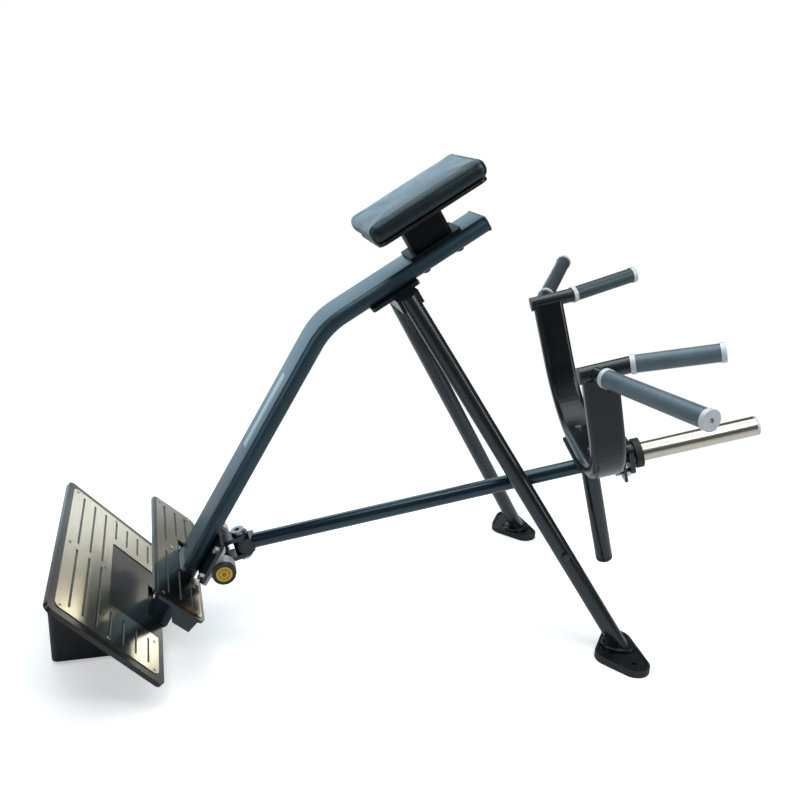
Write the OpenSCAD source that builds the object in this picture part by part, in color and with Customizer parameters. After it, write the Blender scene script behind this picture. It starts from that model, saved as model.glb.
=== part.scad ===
// T-bar row machine with a chest pad, a swinging lever and four grips.
// Millimetres, +Z up. The floor is Z 0 and the lever points along +X.
// The origin lies on the floor, midway between the outer anchor holes of the two rear feet.

/* [Frame] */
// Distance from the anchor line of the rear feet back to the lever's axle
axle_back = 1028; // [980:1:1080]
// Height of the lever's axle above the floor
axle_h = 217; // [205:1:230]
// Slope of the spine's lower run from the floor
spine_lean = 62; // [60:0.5:64]
// Slope of the spine's upper run, which carries the pad
pad_lean = 33; // [31:0.5:36]
// Width of the spine tube
spine_w = 130; // [110:1:140]
// Thickness of the spine tube
spine_t = 40; // [36:1:46]
// Corner radius of the spine tube
spine_r = 12; // [8:1:16]
// Centreline length of the lower run, from abreast of the axle up to the corner
lower_run = 670; // [640:1:700]
// Centreline length of the upper run, from the corner to the top end
upper_run = 476; // [455:1:500]
// Bend radius of the spine's centreline
spine_bend = 200; // [160:1:230]
// Height of the spine's lower end above the floor
spine_foot_h = 40; // [36:1:50]
// Thickness of the plastic cap on the spine's top end
spine_cap_t = 5; // [3:0.5:8]

/* [Rear legs] */
// Diameter of each leg tube
leg_d = 45; // [40:1:48]
// Distance of each leg's foot from the middle plane
leg_foot_y = 355; // [340:1:380]
// Distance of each leg's foot in front of the anchor line
leg_foot_x = 12; // [0:1:20]
// Distance of each leg's top from the middle plane
leg_top_y = 101; // [98:1:110]
// Place of the leg tops along the upper run, from the corner
leg_top_s = 209; // [195:1:225]
// Thickness of the saddle plate under the spine
saddle_t = 9.3; // [6:0.1:11]
// Depth of the cross block between the leg tops
block_h = 36; // [30:1:44]
// Distance of the outer anchor holes from the middle plane
anchor_y = 428; // [420:1:440]
// Diameter of the anchor holes
anchor_d = 13; // [10:0.5:15]
// Radius of the foot plate round each anchor hole
foot_r = 35; // [30:1:37]
// Thickness of the steel foot plate
foot_t = 8; // [6:0.5:10]
// Height of the rubber foot's outer rim
foot_rim_h = 17; // [15.5:0.5:20]
// Height of the rubber foot under the steel plate
foot_bed_h = 6; // [4:0.5:7]

/* [Steps] */
// Slope of the lower step plate from the floor
low_step_lean = 46.1; // [44:0.1:48]
// Length of the lower step plate down its slope
low_step_l = 344; // [338:1:350]
// Half the width of the lower step plate
low_step_half = 329; // [300:1:345]
// Thickness of the lower step plate
low_step_t = 12; // [8:0.5:14]
// Distance of the lower step's top edge behind the axle
low_step_x = 395; // [385:1:405]
// Height of the lower step's top edge
low_step_h = 303; // [298:1:310]
// Slope of the upper step plate from the floor
up_step_lean = 41.5; // [40:0.1:43]
// Length of the upper step plate down its slope
up_step_l = 149; // [146:1:152]
// Half the width of the upper step plate
up_step_half = 266; // [245:1:280]
// Thickness of the upper step plate
up_step_t = 8; // [6:0.5:9]
// Distance of the upper step's top edge behind the axle
up_step_x = 169; // [165:1:173]
// Height of the upper step's top edge
up_step_h = 271; // [267:1:275]
// Thickness of the steel tread sheets
tread_t = 2; // [1:0.1:3]
// Margin of the step plates round the treads
tread_inset = 14; // [10:0.5:18]
// Width of the tread slots
slot_w = 7; // [5:0.5:9]
// Half the width of the bare middle of the lower step
bare_half = 152; // [140:1:160]
// Side clearance between the spine and the step plates
notch_gap = 8; // [4:0.5:12]
// Size of the square cross tubes under the upper step
cross_w = 50; // [40:1:52]
// Distance of the cross tubes' outer ends from the middle plane
cross_half = 230; // [210:1:240]
// Half the width of the base box
base_half = 118; // [100:1:130]
// Distance of the base box's rear wall behind the axle
base_back = 426; // [415:1:432]
// Length of the base box along the floor
base_l = 320; // [310:1:330]
// Height at which the rear wall starts to lean forward
base_wall_h = 190; // [180:1:200]
// Angle of the leaning rear wall from upright
base_wall_lean = 20; // [15:1:25]
// Length of each rubber runner
runner_l = 170; // [150:5:200]
// Width of each rubber runner
runner_w = 28; // [20:1:34]
// Height of the rubber runners under the base box
runner_h = 10; // [6:1:14]
// Corner radius of the base box
base_r = 18; // [12:1:24]

/* [Lever] */
// Lift of the resting lever above the floor's level
rest_lift = 16.9; // [16.5:0.1:17.3]
// Swing of the resting lever to the side
rest_swing = 13.4; // [13.2:0.1:13.6]
// Diameter of the lever tube
lever_d = 40; // [36:1:44]
// Distance of the swing pin from the axle
pin_off = 59; // [57:0.5:62]
// Diameter of the axle
axle_d = 25; // [20:1:28]
// Diameter of the swing pin
pin_d = 20; // [16:1:22]
// Radial running clearance of the pin and the axle
run_gap = 0.05; // [0.03:0.01:0.09]
// Thickness of each clevis cheek
cheek_t = 12; // [10:0.5:13]
// Radius of the clevis and the lever head round the pin
cheek_r = 24; // [22:0.5:25]
// Length of the hub sleeve on the axle
hub_l = 150; // [130:1:156]
// Diameter of the hub sleeve
hub_d = 46; // [40:1:48]
// Distance of the yoke's middle from the swing pin
yoke_u = 954; // [940:1:965]
// Width of the yoke tube along the lever
yoke_w = 80; // [70:1:86]
// Thickness of the yoke tube
yoke_t = 40; // [36:1:44]
// Corner radius of the yoke tube
yoke_r = 14; // [8:1:17]
// Half the length of the yoke's straight bottom
yoke_half_l = 69; // [64:1:74]
// Bend radius of the yoke's centreline
yoke_bend = 181; // [172:1:190]
// Bend angle of the yoke
yoke_angle = 82.3; // [81:0.1:84]
// Height of the crossbars above the lever's axis
bar_w = 373; // [360:1:385]
// Diameter of the crossbars
bar_d = 38; // [34:1:40]
// Reach of the crossbars behind the yoke's middle
bar_back = 47; // [44:1:55]
// Reach of the crossbars in front of the yoke's middle
bar_front = 69; // [62:1:76]
// Place of the wide grips behind the yoke's middle
wide_back = 13; // [8:1:18]
// Thickness of the cradle plate under the yoke
cradle_t = 6; // [4:0.5:8]
// Width of the cradle plate along the lever
cradle_w = 91; // [86:1:98]
// Reach of the cradle plate to the far side
cradle_far = 129; // [120:1:135]
// Reach of the cradle plate to the near side
cradle_near = 62; // [60:1:70]
// Diameter of the strut under the yoke
strut_d = 45; // [40:1:48]
// Depth of the strut's tip below the lever's axis
strut_l = 305; // [290:1:320]

/* [Grips] */
// Diameter of the rubber grips
grip_d = 40; // [36:1:42]
// Diameter of the metal collars and end caps
collar_d = 44; // [42:1:48]
// Length of each neutral grip, with its collars
neutral_l = 195; // [180:1:210]
// Outward angle of the neutral grips
neutral_out = 14.8; // [12:0.1:16]
// Forward angle of the wide grips
wide_forward = 22.3; // [20:0.1:25]
// Length of each wide grip bar from the crossbar's axis
wide_l = 351; // [330:1:370]
// Length of each metal collar
collar_l = 11; // [8:0.5:14]

/* [Weight horn] */
// Diameter of the weight horn
horn_d = 50; // [48:0.5:52]
// Diameter of the horn's spigot inside the stop ring
spigot_d = 44; // [38:1:46]
// Loading length of the weight horn
horn_l = 302; // [280:1:330]
// Length of the horn's end cap
horn_cap_l = 6; // [4:0.5:8]
// Outer diameter of the rubber stop ring
ring_d = 78; // [70:1:84]
// Thickness of the rubber stop ring
ring_t = 18; // [12:1:20]

/* [Pad] */
// Length of the chest pad along the spine
pad_l = 330; // [310:1:345]
// Width of the chest pad
pad_w = 228; // [200:1:250]
// Thickness of the chest pad at its middle
pad_t = 52; // [44:1:60]
// Crown of the chest pad
pad_crown = 8; // [5:0.5:12]
// Place of the pad's lower end along the upper run
pad_s = 200; // [190:1:215]
// Height of the pad post above the spine
post_h = 86; // [76:1:96]
// Thickness of the pad board
board_t = 8; // [6:0.5:12]

/* [Bearings] */
// Thickness of the bearing plate under the spine
bplate_t = 9.5; // [8:0.5:12]
// Height of the axle below the bearing plate
bearing_h = 33.3; // [33:0.1:36]
// Distance of each bearing housing from the middle plane
bearing_y = 98; // [96:0.5:102]
// Width of each bearing housing
housing_w = 32; // [28:1:34]
// Diameter of each bearing housing
housing_d = 64; // [58:1:65]
// Diameter of the bearing's outer ring
bearing_d = 47; // [42:1:50]

/* [Lever hook] */
// Thickness of the hook plate on the near leg
hook_t = 8; // [6:0.5:10]
// Reach of the hook plate from the leg's axis
hook_reach = 66; // [60:0.5:70]
// Thickness of the hook's rubber liner
liner_t = 5; // [3:0.5:6]
// Gap between the liner and the resting lever
liner_gap = 0.8; // [0.3:0.1:1]

/* [Fasteners] */
// Diameter of the frame bolts
bolt_d = 10; // [8:1:10]
// Radial gap of a bolt in its hole
bolt_gap = 0.2; // [0.1:0.05:0.5]

/* [Hidden] */
$fn = 96;
eps = 0.01;
// Hairline between flat faces that are bolted or pressed together.
hair = 0.01;
far = 2000;

// The spine's centreline passes the axle at this distance.
spine_off = bearing_h + bplate_t + spine_t / 2;
abreast = [-spine_off * sin(spine_lean), axle_h + spine_off * cos(spine_lean)];
corner = abreast + lower_run * [cos(spine_lean), sin(spine_lean)];
bend_a = spine_lean - pad_lean;
bend_l = spine_bend * tan(bend_a / 2);
spine_side = spine_w / 2;

// Where the legs' axes start under the saddle and end on the floor.
saddle_n = -spine_t / 2 - saddle_t;
leg_top = up_point(leg_top_s, saddle_n);
leg_top_p = [leg_top[0] - axle_back, -leg_top_y, leg_top[1]];
leg_foot_p = [leg_foot_x, -leg_foot_y, 0];
leg_vec = leg_top_p - leg_foot_p;
leg_len = norm(leg_vec);
leg_dir = leg_vec / leg_len;
foot_top = foot_bed_h + foot_t;

// Directions of the resting lever.
lever_u = [cos(rest_lift) * cos(rest_swing), -sin(rest_swing),
  sin(rest_lift) * cos(rest_swing)];
pin_p = [pin_off * cos(rest_lift) - axle_back, 0, axle_h + pin_off * sin(rest_lift)];

// The hook's own axes: its reach runs square to the leg and the lever.
hook_g = unit(cross(leg_dir, lever_u));
hook_n = cross(hook_g, leg_dir);
lever_gap = (pin_p - leg_foot_p) * hook_g;
cross_d = cross_along();
cradle_r = lever_d / 2 + liner_gap + liner_t;

// The yoke's arm ends at the crossbar.
// The cradle plate sits a little into the tube's top, and the yoke on the plate.
cradle_seat = 1;
cradle_w0 = lever_d / 2 - cradle_seat;
yoke_w0 = cradle_w0 + cradle_t + yoke_t / 2;
arm_start = [yoke_half_l + yoke_bend * sin(yoke_angle),
  yoke_w0 + yoke_bend * (1 - cos(yoke_angle))];
arm_l = (bar_w - arm_start[1]) / sin(yoke_angle);
bar_v = arm_start[0] + arm_l * cos(yoke_angle);
bar_u0 = yoke_u - bar_back;
bar_u1 = yoke_u + bar_front;
wide_u = yoke_u - wide_back;
flange_u = yoke_u + 91;
ring_u = flange_u + 21;
horn_u = ring_u + ring_t;

// Length of the spine drawn below the axle, and the steps that its bend is drawn in.
spine_low = 330;
spine_steps = 14;
// Steps that each rounded corner of a swept bar is drawn in.
corner_steps = 5;

// Treads: margins, slot rows and screw rows, measured down each step plate from its top edge.
low_notch = 294.5;
low_margin = tread_inset + 4;
low_side = 24;
bare_x = 166;
low_cols = [for (k = [0:6]) 56 + 39.4 * k];
low_slot_in = 14;
low_slot_out = low_step_half - 47;
arm_slot_in = bare_half + 30;
low_screw_x = [32, low_step_l / 2 + 1, low_step_l - 31];
low_screw_y = low_step_half - 37;
up_notch = 83;
up_side = 10;
up_slots = [[38, 30], [75, spine_side + 23], [110, spine_side + 43]];
up_slot_out = up_step_half - 34;
up_screw_x = [25, up_step_l - 26];
up_screw_y = up_step_half - 23;
screw_hole_r = 2.2;

// Bearings: plate, housing base and neck, cap and disc.
bplate_l = 116;
bplate_x = 8;
bplate_side = 24;
bearing_bolt_s = 41;
housing_l = 110;
housing_base_t = 10;
housing_neck = 56;
housing_web = 22;
cap_d = 60;
cap_l = 10;
cap_y = bearing_y + housing_w / 2;
disc_d = 41;
disc_sink = 3;

// Saddle, and the bolts that hold it and the post to the spine.
saddle_s = 120;
saddle_l = 137;
saddle_w = 150;
saddle_bolt_s = saddle_s + 17;
block_l = 60;
frame_bolt_y = 35;
bolt_head_h = 6.5;
bolt_af = 1.7 * bolt_d;

// Legs: length drawn past both ends, the weld round the foot, and the hook's ends and lip.
leg_past = 120;
weld_w = 4;
weld_h = 5;
pad_rim_w = 6;
hook_low = 330;
hook_high = cross_d + 180;
hook_bolt_d = hook_low + 5;
hook_lip = 7;

// Pad post, and the sides of the cushion's outline.
post_s = 343;
post_l = 136;
post_w = 84;
post_bolt_x = 50;
flange_t = 8;
board_n = spine_t / 2 + post_h;
board_in = 10;
pad_n = 48;

// Clevis, pin and head at the lever's lower end.
head_gap = 0.5;
cheek_w = lever_d / 2 + head_gap;
pin_head_h = 12;
pin_head_r = 18;
nut_h = 10;
nut_af = 30;
bush_t = 4;
head_r = 22;
tube_start = 34;

// The yoke's steps, and its bolts, which stand in spot faces in its floor.
yoke_steps = 18;
bolts_v = [-48, 85];
bolts_u = yoke_u - 4;
spot_depth = 0.3;
floor_w = yoke_w0 + yoke_t / 2 - spot_depth;
strut_u = yoke_u - 7;
strut_top = 8;
tip_h = 15;
tip_r = 8;

// Horn flange with its flat lower side, the hub that carries the ring, and the tongue.
horn_plate_t = 12;
horn_plate_w = 86;
horn_plate_low = 37;
ring_hub_d = 56;
tongue_t = 8;
tongue_back = 15;
tongue_w = 44;
tongue_low = 68;
tongue_high = 36;
tongue_bolt_w = 51;

// Bare root of each wide grip, and the arms' end below the crossbars.
wide_u0 = 43;
wide_root_d = bar_d - 4;
bar_cap_l = 4;
arm_short = 8;

function unit(v) = v / norm(v);
function up_point(s, n) = [corner[0] + s * cos(pad_lean) - n * sin(pad_lean),
  corner[1] + s * sin(pad_lean) + n * cos(pad_lean)];
// Distance along the leg's axis at which the lever's axis comes nearest.
function cross_along() = let (w = pin_p - leg_foot_p, b = leg_dir * lever_u)
  (w * leg_dir - b * (w * lever_u)) / (1 - b * b);

// Rounded rectangle, w along X and h along Y, with n sides to a full corner circle.
module rrect(w, h, r, n = $fn) {
  square([w - 2 * r, h], center = true);
  square([w, h - 2 * r], center = true);
  for (x = [-1, 1], y = [-1, 1]) translate([x * (w / 2 - r), y * (h / 2 - r)])
    circle(r, $fn = n);
}

// Slot along Y from y0 to y1 with round ends.
module slot(x, y0, y1, w) {
  translate([x - w / 2, y0 + w / 2]) square([w, y1 - y0 - w]);
  for (y = [y0 + w / 2, y1 - w / 2]) translate([x, y]) circle(w / 2);
}

// Corner points of a rounded bar's section, w wide and t thick, turning from +Y to +Z.
function bar_ring(w, t, r) = [for (q = [0:3], k = [0:corner_steps])
  let (a = 90 * (q + k / corner_steps), y = (q == 0 || q == 3) ? 1 : -1, z = q < 2 ? 1 : -1)
    [y * (w / 2 - r) + r * cos(a), z * (t / 2 - r) + r * sin(a)]];

// Rounded bar carried along a path of stations: place along X, height and angle turned down.
module swept_bar(path, w, t, r) {
  ring = bar_ring(w, t, r);
  n = len(ring);
  m = len(path) - 1;
  points = [for (s = path, p = ring) [s[0] + p[1] * sin(s[2]), p[0], s[1] + p[1] * cos(s[2])]];
  sides = [for (j = [0:m - 1], i = [0:n - 1]) let (i1 = (i + 1) % n)
    [j * n + i, j * n + i1, (j + 1) * n + i1, (j + 1) * n + i]];
  first = [for (i = [n - 1:-1:0]) i];
  last = [for (i = [0:n - 1]) m * n + i];
  polyhedron(points, concat(sides, [first, last]));
}

// Cylinder between two points.
module rod(p, q, r) {
  v = q - p;
  translate(p) rotate([0, acos(v[2] / norm(v)), atan2(v[1], v[0])])
    rotate([0, 0, 37]) cylinder(h = norm(v), r = r);
}

// Hexagon head or nut from z 0 to h.
module hex(af, h) {
  cylinder(h = h, r = af / sqrt(3), $fn = 6);
}

// Bolt whose shank runs down from z 0 by l, with a domed head above and a nut below.
module bolt(l, d, nut = true) {
  translate([0, 0, -l]) cylinder(h = l, r = d / 2);
  difference() {
    cylinder(h = d * 0.6, r = d * 0.85);
    translate([0, 0, d * 0.35]) hex(d * 0.6, d);
  }
  if (nut) translate([0, 0, -l]) difference() {
    hex(d * 1.7, d * 0.7);
    translate([0, 0, -eps]) cylinder(h = d, r = d / 2 - eps);
  }
}

// Frames that the pieces are placed in.
module from_axle() { translate([-axle_back, 0, 0]) children(); }
module lower_frame() {
  from_axle() translate([abreast[0], 0, abreast[1]]) rotate([0, -spine_lean, 0]) children();
}
module upper_frame() {
  from_axle() translate([corner[0], 0, corner[1]]) rotate([0, -pad_lean, 0]) children();
}
module low_step_frame() {
  from_axle() translate([-low_step_x, 0, low_step_h]) rotate([0, low_step_lean, 0]) children();
}
module up_step_frame() {
  from_axle() translate([-up_step_x, 0, up_step_h]) rotate([0, up_step_lean, 0]) children();
}
module hub_frame() {
  from_axle() translate([0, 0, axle_h]) rotate([0, -rest_lift, 0]) children();
}
module lever_frame() {
  hub_frame() translate([pin_off, 0, 0]) rotate([0, 0, -rest_swing]) children();
}
// X along the hook's reach, Y along the near leg, Z across the plate.
module hook_frame() {
  multmatrix([[hook_g[0], leg_dir[0], -hook_n[0], leg_foot_p[0]],
    [hook_g[1], leg_dir[1], -hook_n[1], leg_foot_p[1]],
    [hook_g[2], leg_dir[2], -hook_n[2], leg_foot_p[2]], [0, 0, 0, 1]]) children();
}
module both() {
  children();
  mirror([0, 1, 0]) children();
}

// Base and steps
module base_box() {
  color("#26282b") difference() {
    from_axle() translate([-base_back, 0, runner_h]) linear_extrude(low_step_h)
      translate([base_l / 2, 0]) rrect(base_l, 2 * base_half, base_r);
    low_step_frame() translate([-200, -far / 2, -low_step_t]) cube([far, far, far]);
    lower_frame() translate([-far / 2, -far / 2, -far + spine_t / 2]) cube([far, far, far]);
    from_axle() translate([-base_back, 0, base_wall_h]) rotate([0, base_wall_lean - 90, 0])
      translate([-far / 2, -far / 2, 0]) cube([far, far, far]);
  }
}

module base_runners() {
  color("#111111") both() from_axle()
    translate([-base_back + base_r + runner_l / 2, base_half - base_r - runner_w / 2, 0])
      linear_extrude(runner_h) rrect(runner_l, runner_w, 10);
}

module step_notch(from, depth) {
  translate([from, -spine_side - notch_gap, -depth])
    cube([far, spine_w + 2 * notch_gap, 3 * depth]);
}

module lower_step_plate() {
  color("#2b2e31") low_step_frame() difference() {
    translate([low_step_l / 2, 0, -low_step_t]) linear_extrude(low_step_t)
      rrect(low_step_l, 2 * low_step_half, 20);
    step_notch(low_notch, low_step_t);
    for (p = low_screws()) translate([p[0], p[1], -low_step_t])
      cylinder(h = 2 * low_step_t, r = screw_hole_r, $fn = 24);
  }
}

function low_screws() = [for (y = [-1, 1], x = low_screw_x) [x, y * low_screw_y],
  for (y = [-1, 1]) [low_screw_x[2], y * (bare_half + 26)],
  [low_screw_x[0], 0], [bare_x - 21, 0]];
function up_screws() = [for (y = [-1, 1], x = up_screw_x) [x, y * up_screw_y],
  for (y = [-1, 1]) [up_screw_x[1], y * (spine_side + 63)], [up_notch - 27, 8]];

// A pair of slots across both halves of a step.
module slot_pair(x, from, to) {
  slot(x, from, to, slot_w);
  slot(x, -to, -from, slot_w);
}

module lower_step_tread() {
  color("#c9c4b8") low_step_frame() linear_extrude(tread_t) difference() {
    translate([low_step_l / 2, 0])
      rrect(low_step_l - 2 * low_margin, 2 * (low_step_half - low_side), 18);
    translate([bare_x + far / 2, 0]) rrect(far, 2 * bare_half, 8);
    for (x = low_cols) slot_pair(x, x < bare_x ? low_slot_in : arm_slot_in, low_slot_out);
    for (p = low_screws()) translate(p) circle(screw_hole_r, $fn = 24);
  }
}

module upper_step_plate() {
  color("#2b2e31") up_step_frame() difference() {
    translate([up_step_l / 2, 0, -up_step_t]) linear_extrude(up_step_t)
      rrect(up_step_l, 2 * up_step_half, 20);
    step_notch(up_notch, up_step_t);
    for (p = up_screws()) translate([p[0], p[1], -up_step_t])
      cylinder(h = 2 * up_step_t, r = screw_hole_r, $fn = 24);
  }
}

module upper_step_tread() {
  color("#b9b6ae") up_step_frame() linear_extrude(tread_t) difference() {
    translate([up_step_l / 2, 0])
      rrect(up_step_l - 2 * (tread_inset - 4), 2 * (up_step_half - up_side), 14);
    translate([up_notch - 5, -spine_side - notch_gap - 5])
      square([far, spine_w + 2 * (notch_gap + 5)]);
    for (c = up_slots) slot_pair(c[0], c[1], up_slot_out);
    for (p = up_screws()) translate(p) circle(screw_hole_r, $fn = 24);
  }
}

module tread_screw(t) {
  translate([0, 0, tread_t]) cylinder(h = 1.6, r = 4.5, $fn = 32);
  translate([0, 0, -t]) cylinder(h = tread_t + t, r = 2, $fn = 24);
}

module tread_screws() {
  color("#d8d8d8") {
    low_step_frame() for (p = low_screws()) translate(p) tread_screw(low_step_t - 3);
    up_step_frame() for (p = up_screws()) translate(p) tread_screw(up_step_t - 2);
  }
}

module step_cross_tubes() {
  color("#1b1c1e") up_step_frame() both()
    translate([up_step_l - cross_w, spine_side, -up_step_t - cross_w])
      cube([cross_w, cross_half - spine_side, cross_w]);
}

// Spine
function spine_path() = let (x = lower_run - bend_l, l = upper_run - bend_l, a1 = bend_a)
  [[-spine_low, 0, 0],
  for (k = [0:spine_steps]) let (a = bend_a * k / spine_steps)
    [x + spine_bend * sin(a), -spine_bend * (1 - cos(a)), a],
  [x + spine_bend * sin(a1) + l * cos(a1), -spine_bend * (1 - cos(a1)) - l * sin(a1), a1]];

module spine() {
  color("#22282c") difference() {
    lower_frame() swept_bar(spine_path(), spine_w, spine_t, spine_r);
    translate([-far, -far / 2, spine_foot_h - far]) cube([2 * far, far, far]);
    upper_frame() for (p = post_points()) translate([p[0], p[1], -spine_t])
      cylinder(h = 2 * spine_t, r = bolt_d / 2 + bolt_gap);
    upper_frame() for (y = [-1, 1]) translate([saddle_bolt_s, y * frame_bolt_y, -spine_t])
      cylinder(h = 2 * spine_t, r = bolt_d / 2 + bolt_gap);
  }
}

module spine_cap() {
  color("#9aa3a8") upper_frame()
    swept_bar([[upper_run + hair, 0, 0], [upper_run + spine_cap_t, 0, 0]],
      spine_w, spine_t, spine_r);
}

// Bearings
module at_bearings() {
  for (y = [-1, 1]) translate([0, y * bearing_y, -spine_off]) children();
}

module bearing_bolt_holes(r) {
  for (x = [-1, 1], y = [-1, 1])
    translate([x * bearing_bolt_s, y * bearing_y, -spine_off]) cylinder(h = spine_off, r = r);
}

module bearing_plate() {
  color("#3c4347") lower_frame() difference() {
    translate([bplate_x, 0, -spine_t / 2 - bplate_t]) linear_extrude(bplate_t)
      rrect(bplate_l, 2 * (bearing_y + bplate_side), 10);
    bearing_bolt_holes(bolt_d / 2 + bolt_gap);
  }
}

module bearing_housing(y) {
  lower_frame() difference() {
    union() {
      translate([0, y * bearing_y - housing_w / 2, -spine_off]) rotate([-90, 0, 0])
        cylinder(h = housing_w, r = housing_d / 2);
      translate([0, y * bearing_y, -spine_off + bearing_h - housing_base_t])
        linear_extrude(housing_base_t) rrect(housing_l, housing_w, 8);
      translate([-housing_neck / 2, y * bearing_y - housing_web / 2, -spine_off])
        cube([housing_neck, housing_web, bearing_h - 2]);
    }
    translate([0, y * bearing_y - housing_w, -spine_off]) rotate([-90, 0, 0])
      cylinder(h = 2 * housing_w, r = bearing_d / 2);
    bearing_bolt_holes(bolt_d / 2 + bolt_gap);
  }
}

module near_bearing_housing() { color("#9da3a6") bearing_housing(-1); }
module far_bearing_housing() { color("#9da3a6") bearing_housing(1); }

module bearings() {
  color("silver") lower_frame() at_bearings() rotate([90, 0, 0]) difference() {
    cylinder(h = housing_w - 4, r = bearing_d / 2, center = true);
    cylinder(h = far, r = axle_d / 2 + run_gap, center = true);
  }
}

module bearing_caps() {
  color("#1a1a1a") lower_frame() both() translate([0, cap_y, -spine_off])
    rotate([-90, 0, 0]) difference() {
      cylinder(h = cap_l, r = cap_d / 2);
      translate([0, 0, -eps]) cylinder(h = 4, r = cap_d / 2 - 6);
      translate([0, 0, cap_l - disc_sink]) cylinder(h = cap_l, r = disc_d / 2);
    }
}

module cap_discs() {
  color("#f2c51d") lower_frame() both() translate([0, cap_y + cap_l - disc_sink, -spine_off])
    rotate([-90, 0, 0]) {
      cylinder(h = 4, r = disc_d / 2);
      cylinder(h = 5.2, r = 4.5);
    }
}

module bearing_bolts() {
  l = bplate_t + housing_base_t;
  color("#b8bcbf") lower_frame() for (x = [-1, 1], y = [-1, 1])
    translate([x * bearing_bolt_s, y * bearing_y, -spine_t / 2]) {
      hex(bolt_af, bolt_head_h);
      translate([0, 0, -l + 1]) cylinder(h = l, r = bolt_d / 2);
    }
}

// Rear legs
module leg_saddle() {
  color("#2b3033") upper_frame() difference() {
    union() {
      translate([saddle_s + saddle_l / 2, 0, saddle_n]) linear_extrude(saddle_t - hair)
        rrect(saddle_l, saddle_w, 8);
      translate([leg_top_s - block_l / 2, -leg_top_y, saddle_n - block_h])
        cube([block_l, 2 * leg_top_y, block_h]);
    }
    for (y = [-1, 1]) translate([saddle_bolt_s, y * frame_bolt_y, -spine_t])
      cylinder(h = 2 * spine_t, r = bolt_d / 2 + bolt_gap);
    at_leg_tops() both() leg_line(leg_d / 2);
  }
}

// Undo the upper frame so that the legs can cut what is drawn in it.
module at_leg_tops() {
  rotate([0, pad_lean, 0]) translate([axle_back - corner[0], 0, -corner[1]]) children();
}

// Round bar along the near leg's axis, past both ends.
module leg_line(r) {
  rod(leg_foot_p - leg_dir * leg_past, leg_top_p + leg_dir * leg_past, r);
}

module saddle_bolts() {
  color("#9aa0a4") upper_frame() for (y = [-1, 1])
    translate([saddle_bolt_s, y * frame_bolt_y, saddle_n]) mirror([0, 0, 1]) {
      hex(bolt_af, bolt_head_h);
      translate([0, 0, -saddle_t - 12]) cylinder(h = saddle_t + 12, r = bolt_d / 2);
    }
}

module leg() {
  difference() {
    leg_line(leg_d / 2);
    translate([-far, -far / 2, foot_top - far]) cube([2 * far, far, far]);
    upper_frame() translate([-far / 2, -far / 2, saddle_n]) cube([far, far, far]);
  }
}

module near_leg() {
  color("#23282b") difference() {
    leg();
    hook_frame() translate([0, hook_bolt_d, 0]) rotate([0, 90, 0])
      cylinder(h = far, r = bolt_d / 2 + bolt_gap, center = true);
  }
}

module far_leg() { color("#23282b") mirror([0, 1, 0]) leg(); }

function foot_holes() = [[0, -anchor_y], [-38, -leg_foot_y - 17], [10, -leg_foot_y + 40]];

// Plate round three points with round corners.
module tri_plate(p, r) {
  for (k = [0:2]) translate(p[k]) circle(r);
  for (k = [0:2]) {
    a = p[k];
    b = p[(k + 1) % 3];
    translate(a) rotate(atan2(b[1] - a[1], b[0] - a[0])) translate([0, -r])
      square([norm(b - a), 2 * r]);
  }
}

module anchor_holes() {
  for (p = foot_holes()) translate([p[0], p[1], -1]) cylinder(h = far, r = anchor_d / 2);
}

module foot_plate() {
  difference() {
    union() {
      translate([0, 0, foot_bed_h]) linear_extrude(foot_t) tri_plate(foot_holes(), foot_r);
      intersection() {
        leg_line(leg_d / 2 + weld_w);
        translate([-far / 2, -far / 2, foot_top - 1]) cube([far, far, weld_h + 1]);
      }
    }
    difference() {
      leg_line(leg_d / 2);
      translate([-far, -far / 2, foot_top - far]) cube([2 * far, far, far]);
    }
    anchor_holes();
  }
}

module foot_pad() {
  difference() {
    linear_extrude(foot_rim_h) tri_plate(foot_holes(), foot_r + pad_rim_w);
    translate([0, 0, foot_bed_h]) linear_extrude(foot_rim_h)
      tri_plate(foot_holes(), foot_r + 0.3);
    anchor_holes();
  }
}

module near_foot() { color("#2a2e31") foot_plate(); }
module far_foot() { color("#2a2e31") mirror([0, 1, 0]) foot_plate(); }
module near_foot_pad() { color("#161616") foot_pad(); }
module far_foot_pad() { color("#161616") mirror([0, 1, 0]) foot_pad(); }

// Lever hook on the near leg
// Outline in the plate's plane: reach from the leg's axis, distance up the leg.
function hook_outline() = let (c = [lever_gap, cross_d], r = cradle_r) [
  [0, hook_low], [hook_reach - 18, hook_low], [hook_reach, hook_low + 22],
  [hook_reach, cross_d - 60],
  [c[0] + r + hook_lip, cross_d - 42], [c[0] + r + hook_lip, cross_d - 8],
  [c[0], cross_d - 8], [c[0] - r, cross_d], [c[0] - r, cross_d + 8],
  [hook_reach - 8, cross_d + 128], [hook_reach - 8, cross_d + 150],
  [hook_reach - 30, hook_high], [0, hook_high]];

module lever_hook() {
  color("#2b3136") difference() {
    hook_frame() translate([0, 0, -hook_t / 2]) linear_extrude(hook_t)
      polygon(hook_outline());
    leg_line(leg_d / 2);
    lever_frame() rotate([0, 90, 0]) cylinder(h = far, r = cradle_r);
  }
}

module hook_liner() {
  color("#111111") intersection() {
    lever_frame() rotate([0, 90, 0]) difference() {
      cylinder(h = far, r = cradle_r);
      translate([0, 0, -1]) cylinder(h = far + 2, r = cradle_r - liner_t);
    }
    hook_frame() translate([lever_gap - cradle_r + 2, cross_d - 60, -hook_t / 2 - 3])
      cube([2 * cradle_r - 2, 50, hook_t + 6]);
  }
}

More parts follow.
